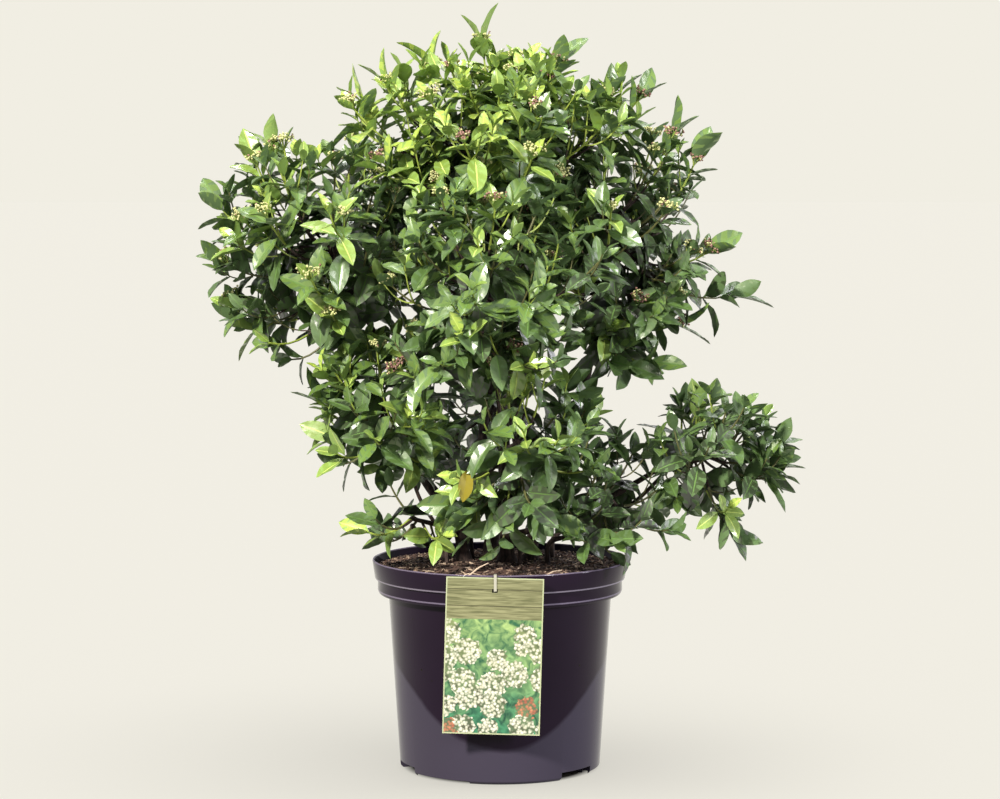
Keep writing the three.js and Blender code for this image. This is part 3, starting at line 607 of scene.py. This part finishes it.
# middle, half-widths, the stem and share of its length its bough leaves from, shoots, furthest tips,
# and how bright its leaves are painted, from 0 deep shade to 1 young: their age, with painted light and painted
# shade
masses = {
    "crown_top": {
        "at": (0, -20, 686), "reach": (192, 142, 88),
        "stem": "main_stem", "share": 1, "shoots": 42, "bright": 0.78,
        "tips": [(-26, -24, 825), (84, -10, 796), (-150, -30, 764), (184, -20, 746), (-92, -20, 794),
                 (52, -30, 792), (-178, -24, 748), (140, -30, 758)],
    },
    "upper_left": {
        "at": (-186, -14, 572), "reach": (116, 146, 140),
        "stem": "left_stem", "share": 1, "shoots": 36, "bright": 0.44,
        "tips": [(-338, -10, 622), (-334, -20, 548), (-262, -20, 704), (-310, 10, 476), (-286, -20, 690)],
    },
    "upper_right": {
        "at": (116, -6, 598), "reach": (98, 146, 138),
        "stem": "right_stem", "share": 1, "shoots": 36, "bright": 0.62,
        "tips": [(226, -10, 738), (285, -10, 500), (262, -20, 560), (214, -20, 462), (236, -16, 690),
                 (160, -20, 462), (126, -30, 446), (150, -60, 416), (184, -60, 424), (126, -66, 420),
                 (170, 30, 440), (124, -80, 470)],
    },
    "front_middle": {
        "at": (-20, -134, 540), "reach": (150, 112, 130),
        "stem": "main_stem", "share": 0.8, "shoots": 33, "bright": 0.56,
        "tips": [(-40, -180, 436), (-84, -168, 452), (24, -184, 440), (84, -140, 500), (62, -160, 462)],
    },
    "upper_back": {
        "at": (-16, 136, 612), "reach": (190, 124, 138),
        "stem": "back_stem", "share": 1, "shoots": 28, "bright": 0.45,
    },
    "lower_back": {
        "at": (-4, 136, 394), "reach": (134, 112, 134),
        "stem": "back_stem", "share": 0.6, "shoots": 17, "bright": 0.2,
    },
    "lower_left": {
        "at": (-122, -42, 400), "reach": (80, 120, 106),
        "stem": "left_stem", "share": 0.5, "shoots": 24, "bright": 0.54,
        "tips": [(-222, -50, 402), (-210, -50, 346)],
    },
    "lower_front": {
        "at": (18, -100, 370), "reach": (116, 104, 124),
        "stem": "main_stem", "share": 0.46, "shoots": 15, "bright": 0.6,
        "tips": [(-44, -112, 262), (38, -120, 258), (74, -104, 252), (-72, -96, 256), (2, -130, 266),
                 (100, -70, 446), (112, -84, 418)],
    },
    "low_right": {
        "at": (230, -14, 344), "reach": (86, 106, 78),
        "stem": "right_stem", "share": 0.34, "shoots": 12, "bright": 0.6,
        "tips": [(288, -20, 410), (334, -20, 362), (262, -30, 232), (216, -20, 424), (330, -20, 326)],
    },
    "low_right_inner": {
        "at": (114, -56, 308), "reach": (94, 98, 72),
        "stem": "main_stem", "share": 0.14, "shoots": 14, "bright": 0.46,
    },
    "foot_left": {
        "at": (-92, -58, 284), "reach": (76, 80, 50),
        "stem": "left_stem", "share": 0.16, "shoots": 6, "bright": 0.42,
        "tips": [(-178, -60, 252)],
    },
}
# thinner stems that rise between the main ones: foot, and the mass whose bough end they reach for
thinStems = [
    ((-16, -34), "lower_front"), ((22, -30), "lower_front"), ((52, -22), "low_right_inner"),
    ((-58, -20), "lower_left"), ((-30, 24), "lower_back"), ((58, 30), "low_right"),
    ((12, 26), "front_middle"), ((-62, 22), "foot_left"),
]
thinStem = {"buried": 5, "radii": (2.6, 4), "taper": 1.2, "upright": 26, "stray": 14, "bow": 12}
heart = Vector((0, 20, 400))  # the bare middle that the foliage stands round
growth = {
    "lift": 0.3,  # how far a mass leans upwards as it spreads from the heart
    "clump": 58,  # the size of the gaps left in the foliage
    "openShoots": 0.28,  # whole shoots and twigs are left out where the gaps' noise passes this
    "openPairs": 0.2,  # and so are the older pairs of leaves on the rest, past this
    "overRim": {"shoots": (236, 146), "leaves": (238, 147)},  # height and radius that they keep clear of
    # boughs
    "boughRadii": (4.4, 2.8),
    "boughBow": 0.12,
    "boughShare": 0.62,
    "core": (3.1, 0.9),  # a mass's inner limb: its radius, and what it loses by its end
    # shoots, spread evenly over a mass
    "capCos": -0.85,
    "turn": 2.39996,  # radians from one to the next, which never line up
    "turnStray": 0.5,
    "startShare": 0.25,
    "reach": 0.9,
    "reachVaries": (0.78, 1.07),
    "tipBack": 40,  # leaders end this much short of a mass's tips, which their leaves reach
    "step": 4,
    "sag": 0.34,
    "shrink": 0.07,
    "shortest": 22,
    "shootRadii": (1.7, 1.0),
    # side twigs
    "twigRadii": (1.1, 0.8),
    "twigPlaces": (30, 58, 90, 126),  # where they leave a shoot, back from its tip
    "twiggyShare": 0.7,  # of a shoot's length
    "twigTurn": 1.7,
    "twigLean": (0.7, 0.6, 0.55),  # along the shoot, out from it and upwards
    "twigChance": 0.52,
    "twigLong": (34, 78),
    "twigRoom": (24, 0.75),  # the longest at the tip, and how much more for each millimetre back
    # leaves
    "pairPlaces": (2, 13, 30, 50, 72, 95),  # where pairs of leaves stand, back from the tip
    "pairsOnTwig": 3,
    "leafyShare": 0.78,  # of a shoot's or twig's length
    "pairAngles": (22, 48, 68, 84, 94, 100),
    "angleVaries": (0.85, 1.15),
    "leaderAngles": (0.5, 0.72),  # a leader's first pair and its others stand this much closer
    "pairStray": 0.25,
    "pairSizes": (0.58, 0.84, 1.0, 1.0, 0.96, 0.92),
    "leafLong": (37, 56),
    "leafOnTwig": 0.92,
    "leafFresh": 0.78,
    "leafLost": 0.06,
    "leafDepth": 1.3,  # how far out of its mass a leaf may end
    "leafLift": (0.12, 0.1, 0.24),  # upwards, less so for each older pair, and a chance droop
    "leafFaceUp": 0.75,
    "leafStray": 0.22,
    # the colours: each spray's youth and painted light pick them
    "greenEnd": 50,  # how much of a shoot's end is still green
    "limeFrom": 0.6,  # the youth and painted light from which it is lime
    # lighter greens higher up, further out and to the left: partly younger growth, partly painted light from
    # the upper left, with painted shade deep inside a mass
    "youthAndLightByHeight": 0.1,
    "youthAndShadeByDepth": (0.16, 0.8),
    "youthByChance": 0.2,
    "paintedLightToLeft": 0.0007,
    "flushed": (0.1, 0.3),  # chance of a younger spray, and how much younger
    "youthByPair": 0.11,
    # small lime sprays low on the front: side and height, how wide each place is, and their youth
    "freshAt": [(-54, 352), (20, 398), (26, 448), (236, 281), (-144, 258), (-66, 250)],
    "freshWide": 24,
    "freshFront": -40,
    "freshYouth": 0.95,
}


def centripetal(points, steps):
    # a smooth curve through points, cut into equal lengths
    ends = [points[0] * 2 - points[1], *points, points[-1] * 2 - points[-2]]
    line = []
    for a, b, c, d in zip(ends, ends[1:], ends[2:], ends[3:]):
        ta, tb, tc = [max((q - p).length ** 0.5, 1e-4) for p, q in ((a, b), (b, c), (c, d))]
        m1 = ((b - a) / ta - (c - a) / (ta + tb) + (c - b) / tb) * tb
        m2 = ((c - b) / tb - (d - b) / (tb + tc) + (d - c) / tc) * tb
        for i in range(40):
            t = i / 40
            line.append(b + m1 * t + (c * 3 - b * 3 - m1 * 2 - m2) * t**2 + (b * 2 - c * 2 + m1 + m2) * t**3)
    return evenly([*line, points[-1]], steps)


def evenly(line, steps):
    lengths = np.cumsum([0] + [(b - a).length for a, b in zip(line, line[1:])])
    spots = np.linspace(0, lengths[-1], steps + 1)
    columns = [np.interp(spots, lengths, [p[i] for p in line]) for i in range(3)]
    return [Vector(p) for p in zip(*columns)]


def bent(start, end, sag, steps=10):
    middle = start.lerp(end, 0.55) - up * sag * (end - start).length
    line = [start * (1 - t) ** 2 + middle * 2 * t * (1 - t) + end * t**2 for t in np.linspace(0, 1, 21)]
    return evenly(line, steps)


def lengthOf(line):
    return (line[1] - line[0]).length * (len(line) - 1)


def placeOn(line, share):
    # the point and the direction of a line at a share of its length
    spot = min(max(share, 0), 0.9999) * (len(line) - 1)
    i = int(spot)
    return line[i].lerp(line[i + 1], spot - i), (line[i + 1] - line[i]).normalized()


def tube(store, line, radiusAt, sides, slotAt, relief=0, seed=0):
    # a closed tube along a line; relief roughens it as bark does
    first = len(store["points"])
    tangents = [(b - a).normalized() for a, b in zip(line, line[1:])]
    tangents.append(tangents[-1])
    normal = tangents[0].orthogonal().normalized()
    last = len(line) - 1
    for i, (p, tangent) in enumerate(zip(line, tangents)):
        normal = (normal - tangent * normal.dot(tangent)).normalized()
        across = tangent.cross(normal)
        for k in range(sides):
            angle = 2 * math.pi * k / sides
            out = normal * math.cos(angle) + across * math.sin(angle)
            radius = radiusAt(i / last)
            if relief:
                ridge = noise.noise(Vector((out.x * 2.4, out.y * 2.4, p.z / 26 + seed)))
                ridge += 0.5 * noise.noise(Vector((out.x * 6, out.y * 6, p.z / 9 + seed)))
                radius *= 1 + relief * ridge
            store["points"].append(p + out * radius)
    for i in range(last):
        for k in range(sides):
            a, b = first + i * sides + k, first + i * sides + (k + 1) % sides
            store["faces"].append((a, b, b + sides, a + sides))
            store["slots"].append(slotAt((i + 0.5) / last))
    end = first + last * sides
    store["faces"].append(tuple(range(first + sides - 1, first - 1, -1)))
    store["faces"].append(tuple(range(end, end + sides)))
    store["slots"] += [slotAt(0), slotAt(1)]


def emptyStore():
    return {"points": [], "faces": [], "slots": []}


def growStem(form):
    start = Vector((*form["foot"], ground - flare["buried"]))
    end = Vector(form["top"])
    side = (end - start).cross(up).normalized()
    out = Vector((*form["foot"], 0)).normalized()
    middle = start.lerp(end, 0.5) + side * form["bow"] + out * abs(form["bow"])
    low = (start + up * flare["height"] * 2).lerp(middle, 0.12)
    return centripetal([start, low, middle, end], 70)


def depthIn(mass, p):
    return math.sqrt(sum(((p[i] - mass["at"][i]) / mass["reach"][i]) ** 2 for i in range(3)))


def overRim(p, kind):
    height, radius = growth["overRim"][kind]
    return p.z < height and math.hypot(p.x, p.y) < radius


def inSpace(mass, p, outline=1.0):
    # inside a mass, nearer to its middle than to any other's, and clear of the pot
    own = depthIn(mass, p)
    if own >= outline or overRim(p, "shoots"):
        return False
    return all(other is mass or depthIn(other, p) > own for other in masses.values())


def reachOf(mass, direction):
    # how far there is room from the middle of a mass
    p = Vector(mass["at"])
    far = 0
    while inSpace(mass, p):
        p += direction * growth["step"]
        far += growth["step"]
    return max(0, far - growth["step"])


def growBough(mass, stemLine):
    start, _ = placeOn(stemLine, mass["share"])
    middle = Vector(mass["at"])
    back = (start - middle).normalized()
    inside = min(reachOf(mass, back) - 6, (start - middle).length * growth["boughShare"])
    end = middle + back * inside
    bend = start.lerp(end, 0.5) - up * growth["boughBow"] * (end - start).length
    return centripetal([start, bend, end], 40)


def growShoot(mass, start, target, limit=1.0):
    # a shoot towards a point, as far as there is room for it
    share = 1.0
    while share > 0:
        line = bent(start, start.lerp(target, share), growth["sag"])
        if lengthOf(line) < growth["shortest"]:
            return None
        if all(inSpace(mass, p, limit) for p in line[2::2]):
            return line
        share -= growth["shrink"]
    return None


def growMass(name, mass, boughLine, draw, leaves, heads, twigStore):
    middle = Vector(mass["at"])
    axis = ((middle - heart).normalized() + up * growth["lift"]).normalized()
    turn = up.rotation_difference(axis)
    entry = boughLine[-1]
    coreLine = evenly([entry - (middle - entry).normalized() * 4, middle + axis * 6], 8)
    thick, taper = growth["core"]
    tube(twigStore, coreLine, lambda share: thick - taper * share, 7, lambda share: 0)
    shoots = []
    for k, tip in enumerate(mass.get("tips", [])):
        start, _ = placeOn(coreLine, max(0.1, 1 - 0.12 * k))
        target = Vector(tip)
        target = target.lerp(start, growth["tipBack"] / (target - start).length)
        line = growShoot(mass, start, target, 3)
        if line:
            shoots.append((line, True))
    for k in range(mass["shoots"]):
        along = (k + 0.5) / mass["shoots"]
        high = 1 - (1 - growth["capCos"]) * along
        around = k * growth["turn"] + draw.random() * growth["turnStray"]
        wide = math.sqrt(1 - high * high)
        direction = turn @ Vector((wide * math.cos(around), wide * math.sin(around), high))
        start, _ = placeOn(coreLine, 1 - (1 - growth["startShare"]) * along)
        target = middle + (
            direction * reachOf(mass, direction) * growth["reach"] * draw.uniform(*growth["reachVaries"])
        )
        line = growShoot(mass, start, target)
        if line and noise.noise(line[-1] / growth["clump"]) < growth["openShoots"]:
            shoots.append((line, False))
    for line, leader in shoots:
        dressShoot(mass, line, draw, leaves, heads, twigStore, leader, growth["shootRadii"], True)


def youthAndLightOf(mass, tip, outward, draw):
    # how young the leaves of a spray are, with painted light and shade: from its mass, its place and chance
    rise = (tip.z - mass["at"][2]) / mass["reach"][2]
    outer, level = growth["youthAndShadeByDepth"]
    chance = draw.uniform(-growth["youthByChance"], growth["youthByChance"])
    youthAndLight = mass["bright"] + growth["youthAndLightByHeight"] * rise + outer * (outward - level) + chance
    # painted light: sprays to the left, towards the key lamp, are dealt lighter greens
    youthAndLight -= growth["paintedLightToLeft"] * tip.x
    often, younger = growth["flushed"]
    if draw.random() < often:
        youthAndLight += younger
    return youthAndLight


def sideAt(tangent, angle, out):
    # a direction square to a shoot, turned round it from its first one
    side = Matrix.Rotation(angle, 3, tangent) @ out
    return (side - tangent * side.dot(tangent)).normalized()


def dressShoot(mass, line, draw, leaves, heads, twigStore, leader, radii, main):
    # side twigs and opposite pairs of leaves, each pair a quarter turn from the last
    long = lengthOf(line)
    tip, heading = line[-1], (line[-1] - line[-2]).normalized()
    out = heading.cross(up)
    out = out.normalized() if out.length > 0.1 else Vector((1, 0, 0))
    out = Matrix.Rotation(draw.uniform(0, math.pi), 3, heading) @ out
    outward = depthIn(mass, tip)
    youthAndLight = youthAndLightOf(mass, tip, outward, draw)
    fresh = tip.y < growth["freshFront"] and any(
        math.hypot(tip.x - x, tip.z - z) < growth["freshWide"] for x, z in growth["freshAt"]
    )
    if fresh:
        youthAndLight = growth["freshYouth"]
    rind = 1 if youthAndLight > growth["limeFrom"] else 2
    green = max(0, 1 - growth["greenEnd"] / long)
    thick, thin = radii
    tube(
        twigStore,
        line,
        lambda share: thick + (thin - thick) * share,
        5 if main else 4,
        lambda share: rind if share > green else 0,
    )
    pairs = growth["pairPlaces"][: None if main else growth["pairsOnTwig"]]
    lift, sink, droop = growth["leafLift"]
    for k, back in enumerate(pairs):
        if back > long * growth["leafyShare"]:
            break
        root, tangent = placeOn(line, 1 - back / long)
        if k > 1 and noise.noise(root / growth["clump"]) > growth["openPairs"] and not leader:
            continue
        closer = growth["leaderAngles"][min(k, 1)] if leader else 1
        for second in (0, 1):
            if k and draw.random() < growth["leafLost"]:
                continue
            stray = draw.uniform(-growth["pairStray"], growth["pairStray"])
            side = sideAt(tangent, (k / 2 + second) * math.pi + stray, out)
            angle = math.radians(growth["pairAngles"][k] * closer * draw.uniform(*growth["angleVaries"]))
            size = draw.uniform(*growth["leafLong"]) * (1 if leader and not k else growth["pairSizes"][k])
            size *= 1 if main else growth["leafOnTwig"]
            size *= growth["leafFresh"] if fresh else 1
            along = tangent * math.cos(angle) + side * math.sin(angle)
            along = (along + up * (lift - sink * k - draw.uniform(0, droop))).normalized()
            face = tangent * math.sin(angle) - side * math.cos(angle) + up * growth["leafFaceUp"]
            face += Vector([draw.uniform(-growth["leafStray"], growth["leafStray"]) for _ in range(3)])
            face = (face - along * face.dot(along)).normalized()
            end = root + along * size
            if depthIn(mass, end) > growth["leafDepth"] and not leader or overRim(end, "leaves"):
                continue
            bends = [draw.random() for _ in range(3)]
            leaves.append((root, along, face, size, youthAndLight - growth["youthByPair"] * k, *bends))
    if not main:
        return
    for back in growth["twigPlaces"]:
        if back > long * growth["twiggyShare"]:
            break
        root, tangent = placeOn(line, 1 - back / long)
        for second in (0, 1):
            if draw.random() > growth["twigChance"]:
                continue
            side = sideAt(tangent, back * growth["twigTurn"] + second * math.pi, out)
            room, more = growth["twigRoom"]
            reach = min(draw.uniform(*growth["twigLong"]), room + back * more)
            onward, outwards, upwards = growth["twigLean"]
            lean = (tangent * onward + side * outwards + up * upwards).normalized()
            twig = growShoot(mass, root, root + lean * reach, 1.02)
            if twig and noise.noise(twig[-1] / growth["clump"]) < growth["openShoots"]:
                dressShoot(mass, twig, draw, leaves, heads, twigStore, False, growth["twigRadii"], False)
    # flower buds end the upper shoots
    chance, more, height = buds["chance"]
    upper = tip.z > buds["lowest"] and outward > buds["outermost"]
    if upper and draw.random() < chance + more * (tip.z > height):
        chance, more, right = buds["pinkChance"]
        pink = draw.random() < chance + more * (tip.x > right)
        heads.append((tip, (heading + up * 0.6).normalized(), draw.uniform(*buds["radius"]), pink))


leafForm = {
    "stations": (0, 0.05, 0.1, 0.2, 0.32, 0.46, 0.6, 0.73, 0.84, 0.93, 1),
    "halfWidths": (0.035, 0.035, 0.14, 0.6, 0.88, 1.0, 1.0, 0.86, 0.61, 0.3, 0),
    "across": (-1, -0.5, -0.07, 0.07, 0.5, 1),
    "thick": 0.5,
    # shares of the length, or of the half-width for a fold
    "width": 0.43,
    "quilt": 0.022,  # how far the blade swells between side veins
    "rib": 0.008,
    "wave": 0.012,
    "arch": (0.05, 0.3),  # least, and how much more by chance
    "fold": (0.12, 0.3),
    "twist": 0.9,
}
leafColours = ["#A6BB50", "#809A43", "#647F39", "#4F6835", "#3D4B2E", "#2E3425"]  # young and lit to old and in painted deep shade
leafParts = {
    "youngMidrib": "#BFD070",
    "matureMidrib": "#5F7F42",
    "youngLeafUnder": "#86A255",
    "matureLeafUnder": "#566E45",
}
# the one leaf that has turned yellow
yellowLeaf = {
    "mass": "lower_front", "root": (-34, -150, 346), "along": (-0.1, -0.25, -1), "face": (0.3, -1, 0.25),
    "long": 38, "youthAndLight": 9, "bends": (0.3, 0.3, 0.5),
}


def leafMaterials():
    # evergreen leaves: a waxy upper side that mirrors the lamp, a duller and paler lower side
    materials = []
    for k, colour in enumerate(leafColours):
        blade, shader = newMaterial("waxyLeafUpper" + str(k), colour, 0.3, 1.6)
        shader.inputs["Coat Weight"].default_value = 0.85  # the wax over the blade
        shader.inputs["Coat Roughness"].default_value = 0.32
        surfaceDetail(blade, shader, 4, 0.45, 0.5, (0.28, 0.46))
        materials.append(blade)
    for name, colour in leafParts.items():
        part, shader = newMaterial(name, colour, 0.5)
        surfaceDetail(part, shader, 3, 0.2, 0.3, (0.45, 0.62))
        materials.append(part)
    ageing, shader = newMaterial("yellowedLeaf", "#82761A", 0.42)
    surfaceDetail(ageing, shader, 4, 0.3, 0.4, (0.36, 0.5))
    materials.append(ageing)
    return materials


def leafTemplate():
    # one leaf's faces: the upper skin six points wide, the lower skin three, closed along the margin
    stations, columns = len(leafForm["stations"]), len(leafForm["across"])
    tip = (stations - 1) * columns
    rib = tip + 1
    upper, midrib, under = 0, 1, 2
    faces, kinds = [], []
    for i in range(stations - 1):
        a, b = i * columns, (i + 1) * columns
        lastRow = i == stations - 2
        for j in range(columns - 1):
            faces.append((a + j, a + j + 1, tip) if lastRow else (a + j, a + j + 1, b + j + 1, b + j))
            kinds.append(midrib if j == 2 else upper)
        left, right, mid = a, a + columns - 1, rib + i
        if lastRow:
            faces += [(left, tip, mid), (mid, tip, right)]
        else:
            faces += [(left, b, mid + 1, mid), (mid, mid + 1, b + columns - 1, right)]
        kinds += [under, under]
    faces.append(tuple(range(columns - 1, -1, -1)) + (rib,))
    kinds.append(midrib)
    return faces, kinds, rib + stations - 1


def leafPiece(name, leaves, materials, node):
    faces, kinds, count = leafTemplate()
    stations = np.array(leafForm["stations"])
    half = np.array(leafForm["halfWidths"]) * leafForm["width"] / 2
    across = np.array(leafForm["across"])
    rowCount = len(stations) - 1
    # the upper skin row by row, the tip, then the middle line of the lower skin
    t = np.concatenate([np.repeat(stations[:-1], len(across)), [1.0], stations[:-1]])
    v = np.concatenate([np.tile(across, rowCount), [0.0], np.zeros(rowCount)])
    w = np.concatenate([np.repeat(half[:-1], len(across)), [0.0], half[:-1]]) * v
    below = np.concatenate([np.zeros(len(t) - rowCount), np.ones(rowCount)])
    rows = np.concatenate([np.repeat(np.arange(rowCount), len(across)), [0], np.arange(rowCount)])
    quilt = leafForm["quilt"] * np.where(rows % 2 == 0, 1, -1) * (np.abs(v) == 0.5)
    rib = -leafForm["rib"] * (np.abs(v) < 0.1) * (t > 0.08)
    # every leaf's place, size and chances, one row each
    root, along, face = [np.array([leaf[k] for leaf in leaves]) for k in range(3)]
    side = np.cross(face, along)
    long, bend, crease, turn = [np.array([leaf[k] for leaf in leaves])[:, None] for k in (3, 5, 6, 7)]
    arch = leafForm["arch"][0] + leafForm["arch"][1] * bend
    fold = leafForm["fold"][0] + leafForm["fold"][1] * crease
    twist = (turn - 0.5) * leafForm["twist"] * t
    wave = leafForm["wave"] * np.sin(t * 15 + bend * 6 + np.sign(v) * 2) * np.abs(v)
    high = fold * np.abs(w) - arch * t**2.0 + quilt + rib + wave
    wide = w * np.cos(twist) * (1 - 0.08 * bend)
    high = high + w * np.sin(twist)
    far = t * (1 - 0.25 * arch * t)
    points = (
        root[:, None, :]
        + along[:, None, :] * (far * long)[:, :, None]
        + side[:, None, :] * (wide * long)[:, :, None]
        + face[:, None, :] * (high * long - leafForm["thick"] * below)[:, :, None]
    )
    # young sprays are lime with a pale rib; the deepest leaves have a rib of their own colour
    slotOf = {material.name: k for k, material in enumerate(materials)}
    deepest = len(leafColours) - 1
    allFaces, slots = [], []
    for n, leaf in enumerate(leaves):
        shade = min(deepest, max(0, round((1 - leaf[4]) * deepest)))
        age = "young" if shade < 2 else "mature"
        midrib = deepest if shade == deepest else slotOf[age + "Midrib"]
        here = [shade, midrib, slotOf[age + "LeafUnder"]]
        if leaf[4] == yellowLeaf["youthAndLight"]:
            here = [slotOf["yellowedLeaf"]] * 3
        allFaces += [[n * count + i for i in corners] for corners in faces]
        slots += [here[kind] for kind in kinds]
    piece = pieceFrom(name, points.reshape(-1, 3), allFaces, materials, slots, 55)
    finishPiece(piece, name, "foliage", node)


buds = {
    "lowest": 430,
    "outermost": 0.62,  # only on shoots that end this far out in their mass
    "chance": (0.36, 0.34, 600),  # on a shoot, and how much more above a height
    "pinkChance": (0.14, 0.36, 40),  # for a cluster, and how much more to the right of this
    "radius": (10, 15),
    "rays": (5, 7),
    "budsOnRay": (8, 12),
    "size": (0.95, 1.5),
    "mixed": (0.08, 0.75),  # the share of pink buds in a green cluster and in a pink one
    "colours": {"greenFlowerBud": "#C6C58C", "pinkFlowerBud": "#8F6A60", "clusterStalk": "#8C9850"},
}


def budPiece(heads):
    # flat-topped clusters of flower buds: rays from the shoot's tip, small stalks, and a bud on each
    draw = random.Random(77)
    phi = (1 + 5**0.5) / 2
    bud = [Vector(p).normalized() for p in
           [(-1, phi, 0), (1, phi, 0), (-1, -phi, 0), (1, -phi, 0), (0, -1, phi), (0, 1, phi),
            (0, -1, -phi), (0, 1, -phi), (phi, 0, -1), (phi, 0, 1), (-phi, 0, -1), (-phi, 0, 1)]]
    sides = [(0, 11, 5), (0, 5, 1), (0, 1, 7), (0, 7, 10), (0, 10, 11), (1, 5, 9), (5, 11, 4), (11, 10, 2),
             (10, 7, 6), (7, 1, 8), (3, 9, 4), (3, 4, 2), (3, 2, 6), (3, 6, 8), (3, 8, 9), (4, 9, 5),
             (2, 4, 11), (6, 2, 10), (8, 6, 7), (9, 8, 1)]
    green, pinkish, stalk = 0, 1, 2
    store = emptyStore()
    for tip, axis, radius, pink in heads:
        flat = axis.orthogonal().normalized()
        rays = draw.randint(*buds["rays"])
        for ray in range(rays):
            out = Matrix.Rotation(2 * math.pi * ray / rays + draw.random() * 0.6, 3, axis) @ flat
            share = 0.15 if ray == 0 else draw.uniform(0.55, 1)
            hub = tip + axis * radius * 0.75 + out * radius * 0.72 * share
            line = [tip - axis, tip.lerp(hub, 0.5) + axis * 0.8, hub]
            tube(store, line, lambda s: 0.75 - 0.2 * s, 3, lambda s: stalk)
            for _ in range(draw.randint(*buds["budsOnRay"])):
                stray = Vector([draw.uniform(-1, 1) for _ in range(3)])
                place = hub + stray * radius * 0.26 + axis * radius * draw.uniform(0.1, 0.3)
                tube(store, [hub, place], lambda s: 0.4, 3, lambda s: stalk)
                size = draw.uniform(*buds["size"])
                slot = pinkish if draw.random() < buds["mixed"][pink] else green
                first = len(store["points"])
                store["points"] += [place + p * size for p in bud]
                store["faces"] += [tuple(first + i for i in side) for side in sides]
                store["slots"] += [slot] * len(sides)
    # waxy scales, half matte, cream green or flushed with pink, on green stalks
    materials = []
    for name, colour in buds["colours"].items():
        part, shader = newMaterial(name, colour, 0.5)
        surfaceDetail(part, shader, 1, 0.3, 0.2, (0.4, 0.6))
        materials.append(part)
    piece = pieceFrom("flowerBuds", store["points"], store["faces"], materials, store["slots"], 60)
    finishPiece(piece, "flowerBuds", "foliage")
    print(len(heads), "bud clusters", len(store["faces"]), "faces")


def barkMaterials():
    # thin bark: grey-brown, dull, finely cracked along the stem every 2 or 3 mm
    bark, shader = newMaterial("crackedBark", "#3F2F2B", 0.78)
    place = addNode(bark, "TexCoord")
    streaks = addNode(bark, "Mapping", {"Vector": place.outputs["Object"], "Scale": (1, 1, 0.28)})
    cracks = addNode(bark, "TexNoise", {"Vector": streaks, "Scale": 420, "Detail": 4})
    tone = addNode(bark, "MapRange", {"Value": cracks, "From Min": 0.35, "From Max": 0.65})
    colour = addNode(bark, "Mix", {0: tone, 6: "#1F1715", 7: "#4A3A34"}, data_type="RGBA")
    join(bark, colour.outputs[2], shader.inputs["Base Color"])
    relief = addNode(bark, "Bump", {"Height": cracks, "Strength": 0.6, "Distance": 0.5 * mm})
    join(bark, relief.outputs[0], shader.inputs["Normal"])
    # young rind: smooth, a little glossy, lime on fresh shoots and brownish green on riper ones
    rinds = []
    for name, colour in {"limeShootRind": "#8C9C42", "ripeShootRind": "#5C5C36"}.items():
        rind, shader = newMaterial(name, colour, 0.45)
        surfaceDetail(rind, shader, 2, 0.3, 0.2, (0.38, 0.55))
        rinds.append(rind)
    return [bark, *rinds]


def growStems(bark):
    # each stem with its root flare and ridged bark; its line is kept for the boughs to leave from
    lines = {}
    for seed, (name, form) in enumerate(stems.items()):
        line = growStem(form)
        high = line[-1].z - line[0].z
        thick, thin = form["radii"]

        def radiusAt(share, thick=thick, thin=thin, high=high):
            rise = max(0, 1 - share * high / flare["height"])
            return (thick + (thin - thick) * share) * (1 + flare["swell"] * rise * rise)

        store = emptyStore()
        tube(store, line, radiusAt, 18, lambda share: 0, 0.13, seed * 7)
        piece = pieceFrom(name, store["points"], store["faces"], [bark], store["slots"], 50)
        finishPiece(piece, name.replace("_s", "S") + "Bark", "bark", name)
        lines[name] = line
    return lines


def growThinStems(store):
    draw = random.Random(90)
    stray, bow = thinStem["stray"], thinStem["bow"]
    for foot, name in thinStems:
        start = Vector((*foot, ground - thinStem["buried"]))
        middle = Vector(masses[name]["at"])
        end = middle.lerp(start, 0.12) + Vector([draw.uniform(-stray, stray) for _ in range(3)])
        side = Vector([draw.uniform(-bow, bow) for _ in range(2)] + [0])
        upright = start + up * thinStem["upright"] + side * 0.2
        line = centripetal([start, upright, start.lerp(end, 0.5) + side, end], 40)
        thick = draw.uniform(*thinStem["radii"])
        tube(store, line, lambda share: thick - thinStem["taper"] * share, 7, lambda share: 0, 0.1, thick)


def growPlant():
    rinds = barkMaterials()
    leafSet = leafMaterials()
    stemLines = growStems(rinds[0])
    boughStore, twigStore, heads = emptyStore(), emptyStore(), []
    growThinStems(twigStore)
    thick, thin = growth["boughRadii"]
    total = 0
    for k, (name, mass) in enumerate(masses.items()):
        line = growBough(mass, stemLines[mass["stem"]])
        tube(boughStore, line, lambda share: thick + (thin - thick) * share, 12, lambda share: 0, 0.12, 40 + k)
        leaves = []
        growMass(name, mass, line, random.Random(500 + k), leaves, heads, twigStore)
        if name == yellowLeaf["mass"]:
            along, face = [Vector(yellowLeaf[way]).normalized() for way in ("along", "face")]
            root = Vector(yellowLeaf["root"])
            leaves.append((root, along, face, yellowLeaf["long"], yellowLeaf["youthAndLight"], *yellowLeaf["bends"]))
        words = name.split("_")
        pieceName = words[0] + "".join(word.title() for word in words[1:]) + "Leaves"
        leafPiece(pieceName, leaves, leafSet, "foliage_" + name)
        total += len(leaves)
        print(name, len(leaves), "leaves")
    boughs = pieceFrom("boughs", boughStore["points"], boughStore["faces"], rinds[:1], boughStore["slots"], 50)
    finishPiece(boughs, "boughBark", "bark", *["bough_" + name for name in masses])
    twigs = pieceFrom("twigs", twigStore["points"], twigStore["faces"], rinds, twigStore["slots"], 50)
    finishPiece(twigs, "leafyTwigs", "foliage")
    budPiece(heads)
    print("plant grown:", total, "leaves,", len(twigStore["faces"]), "twig faces")


setStudio()
modelPot()
modelSoil()
dressCard()
growPlant()
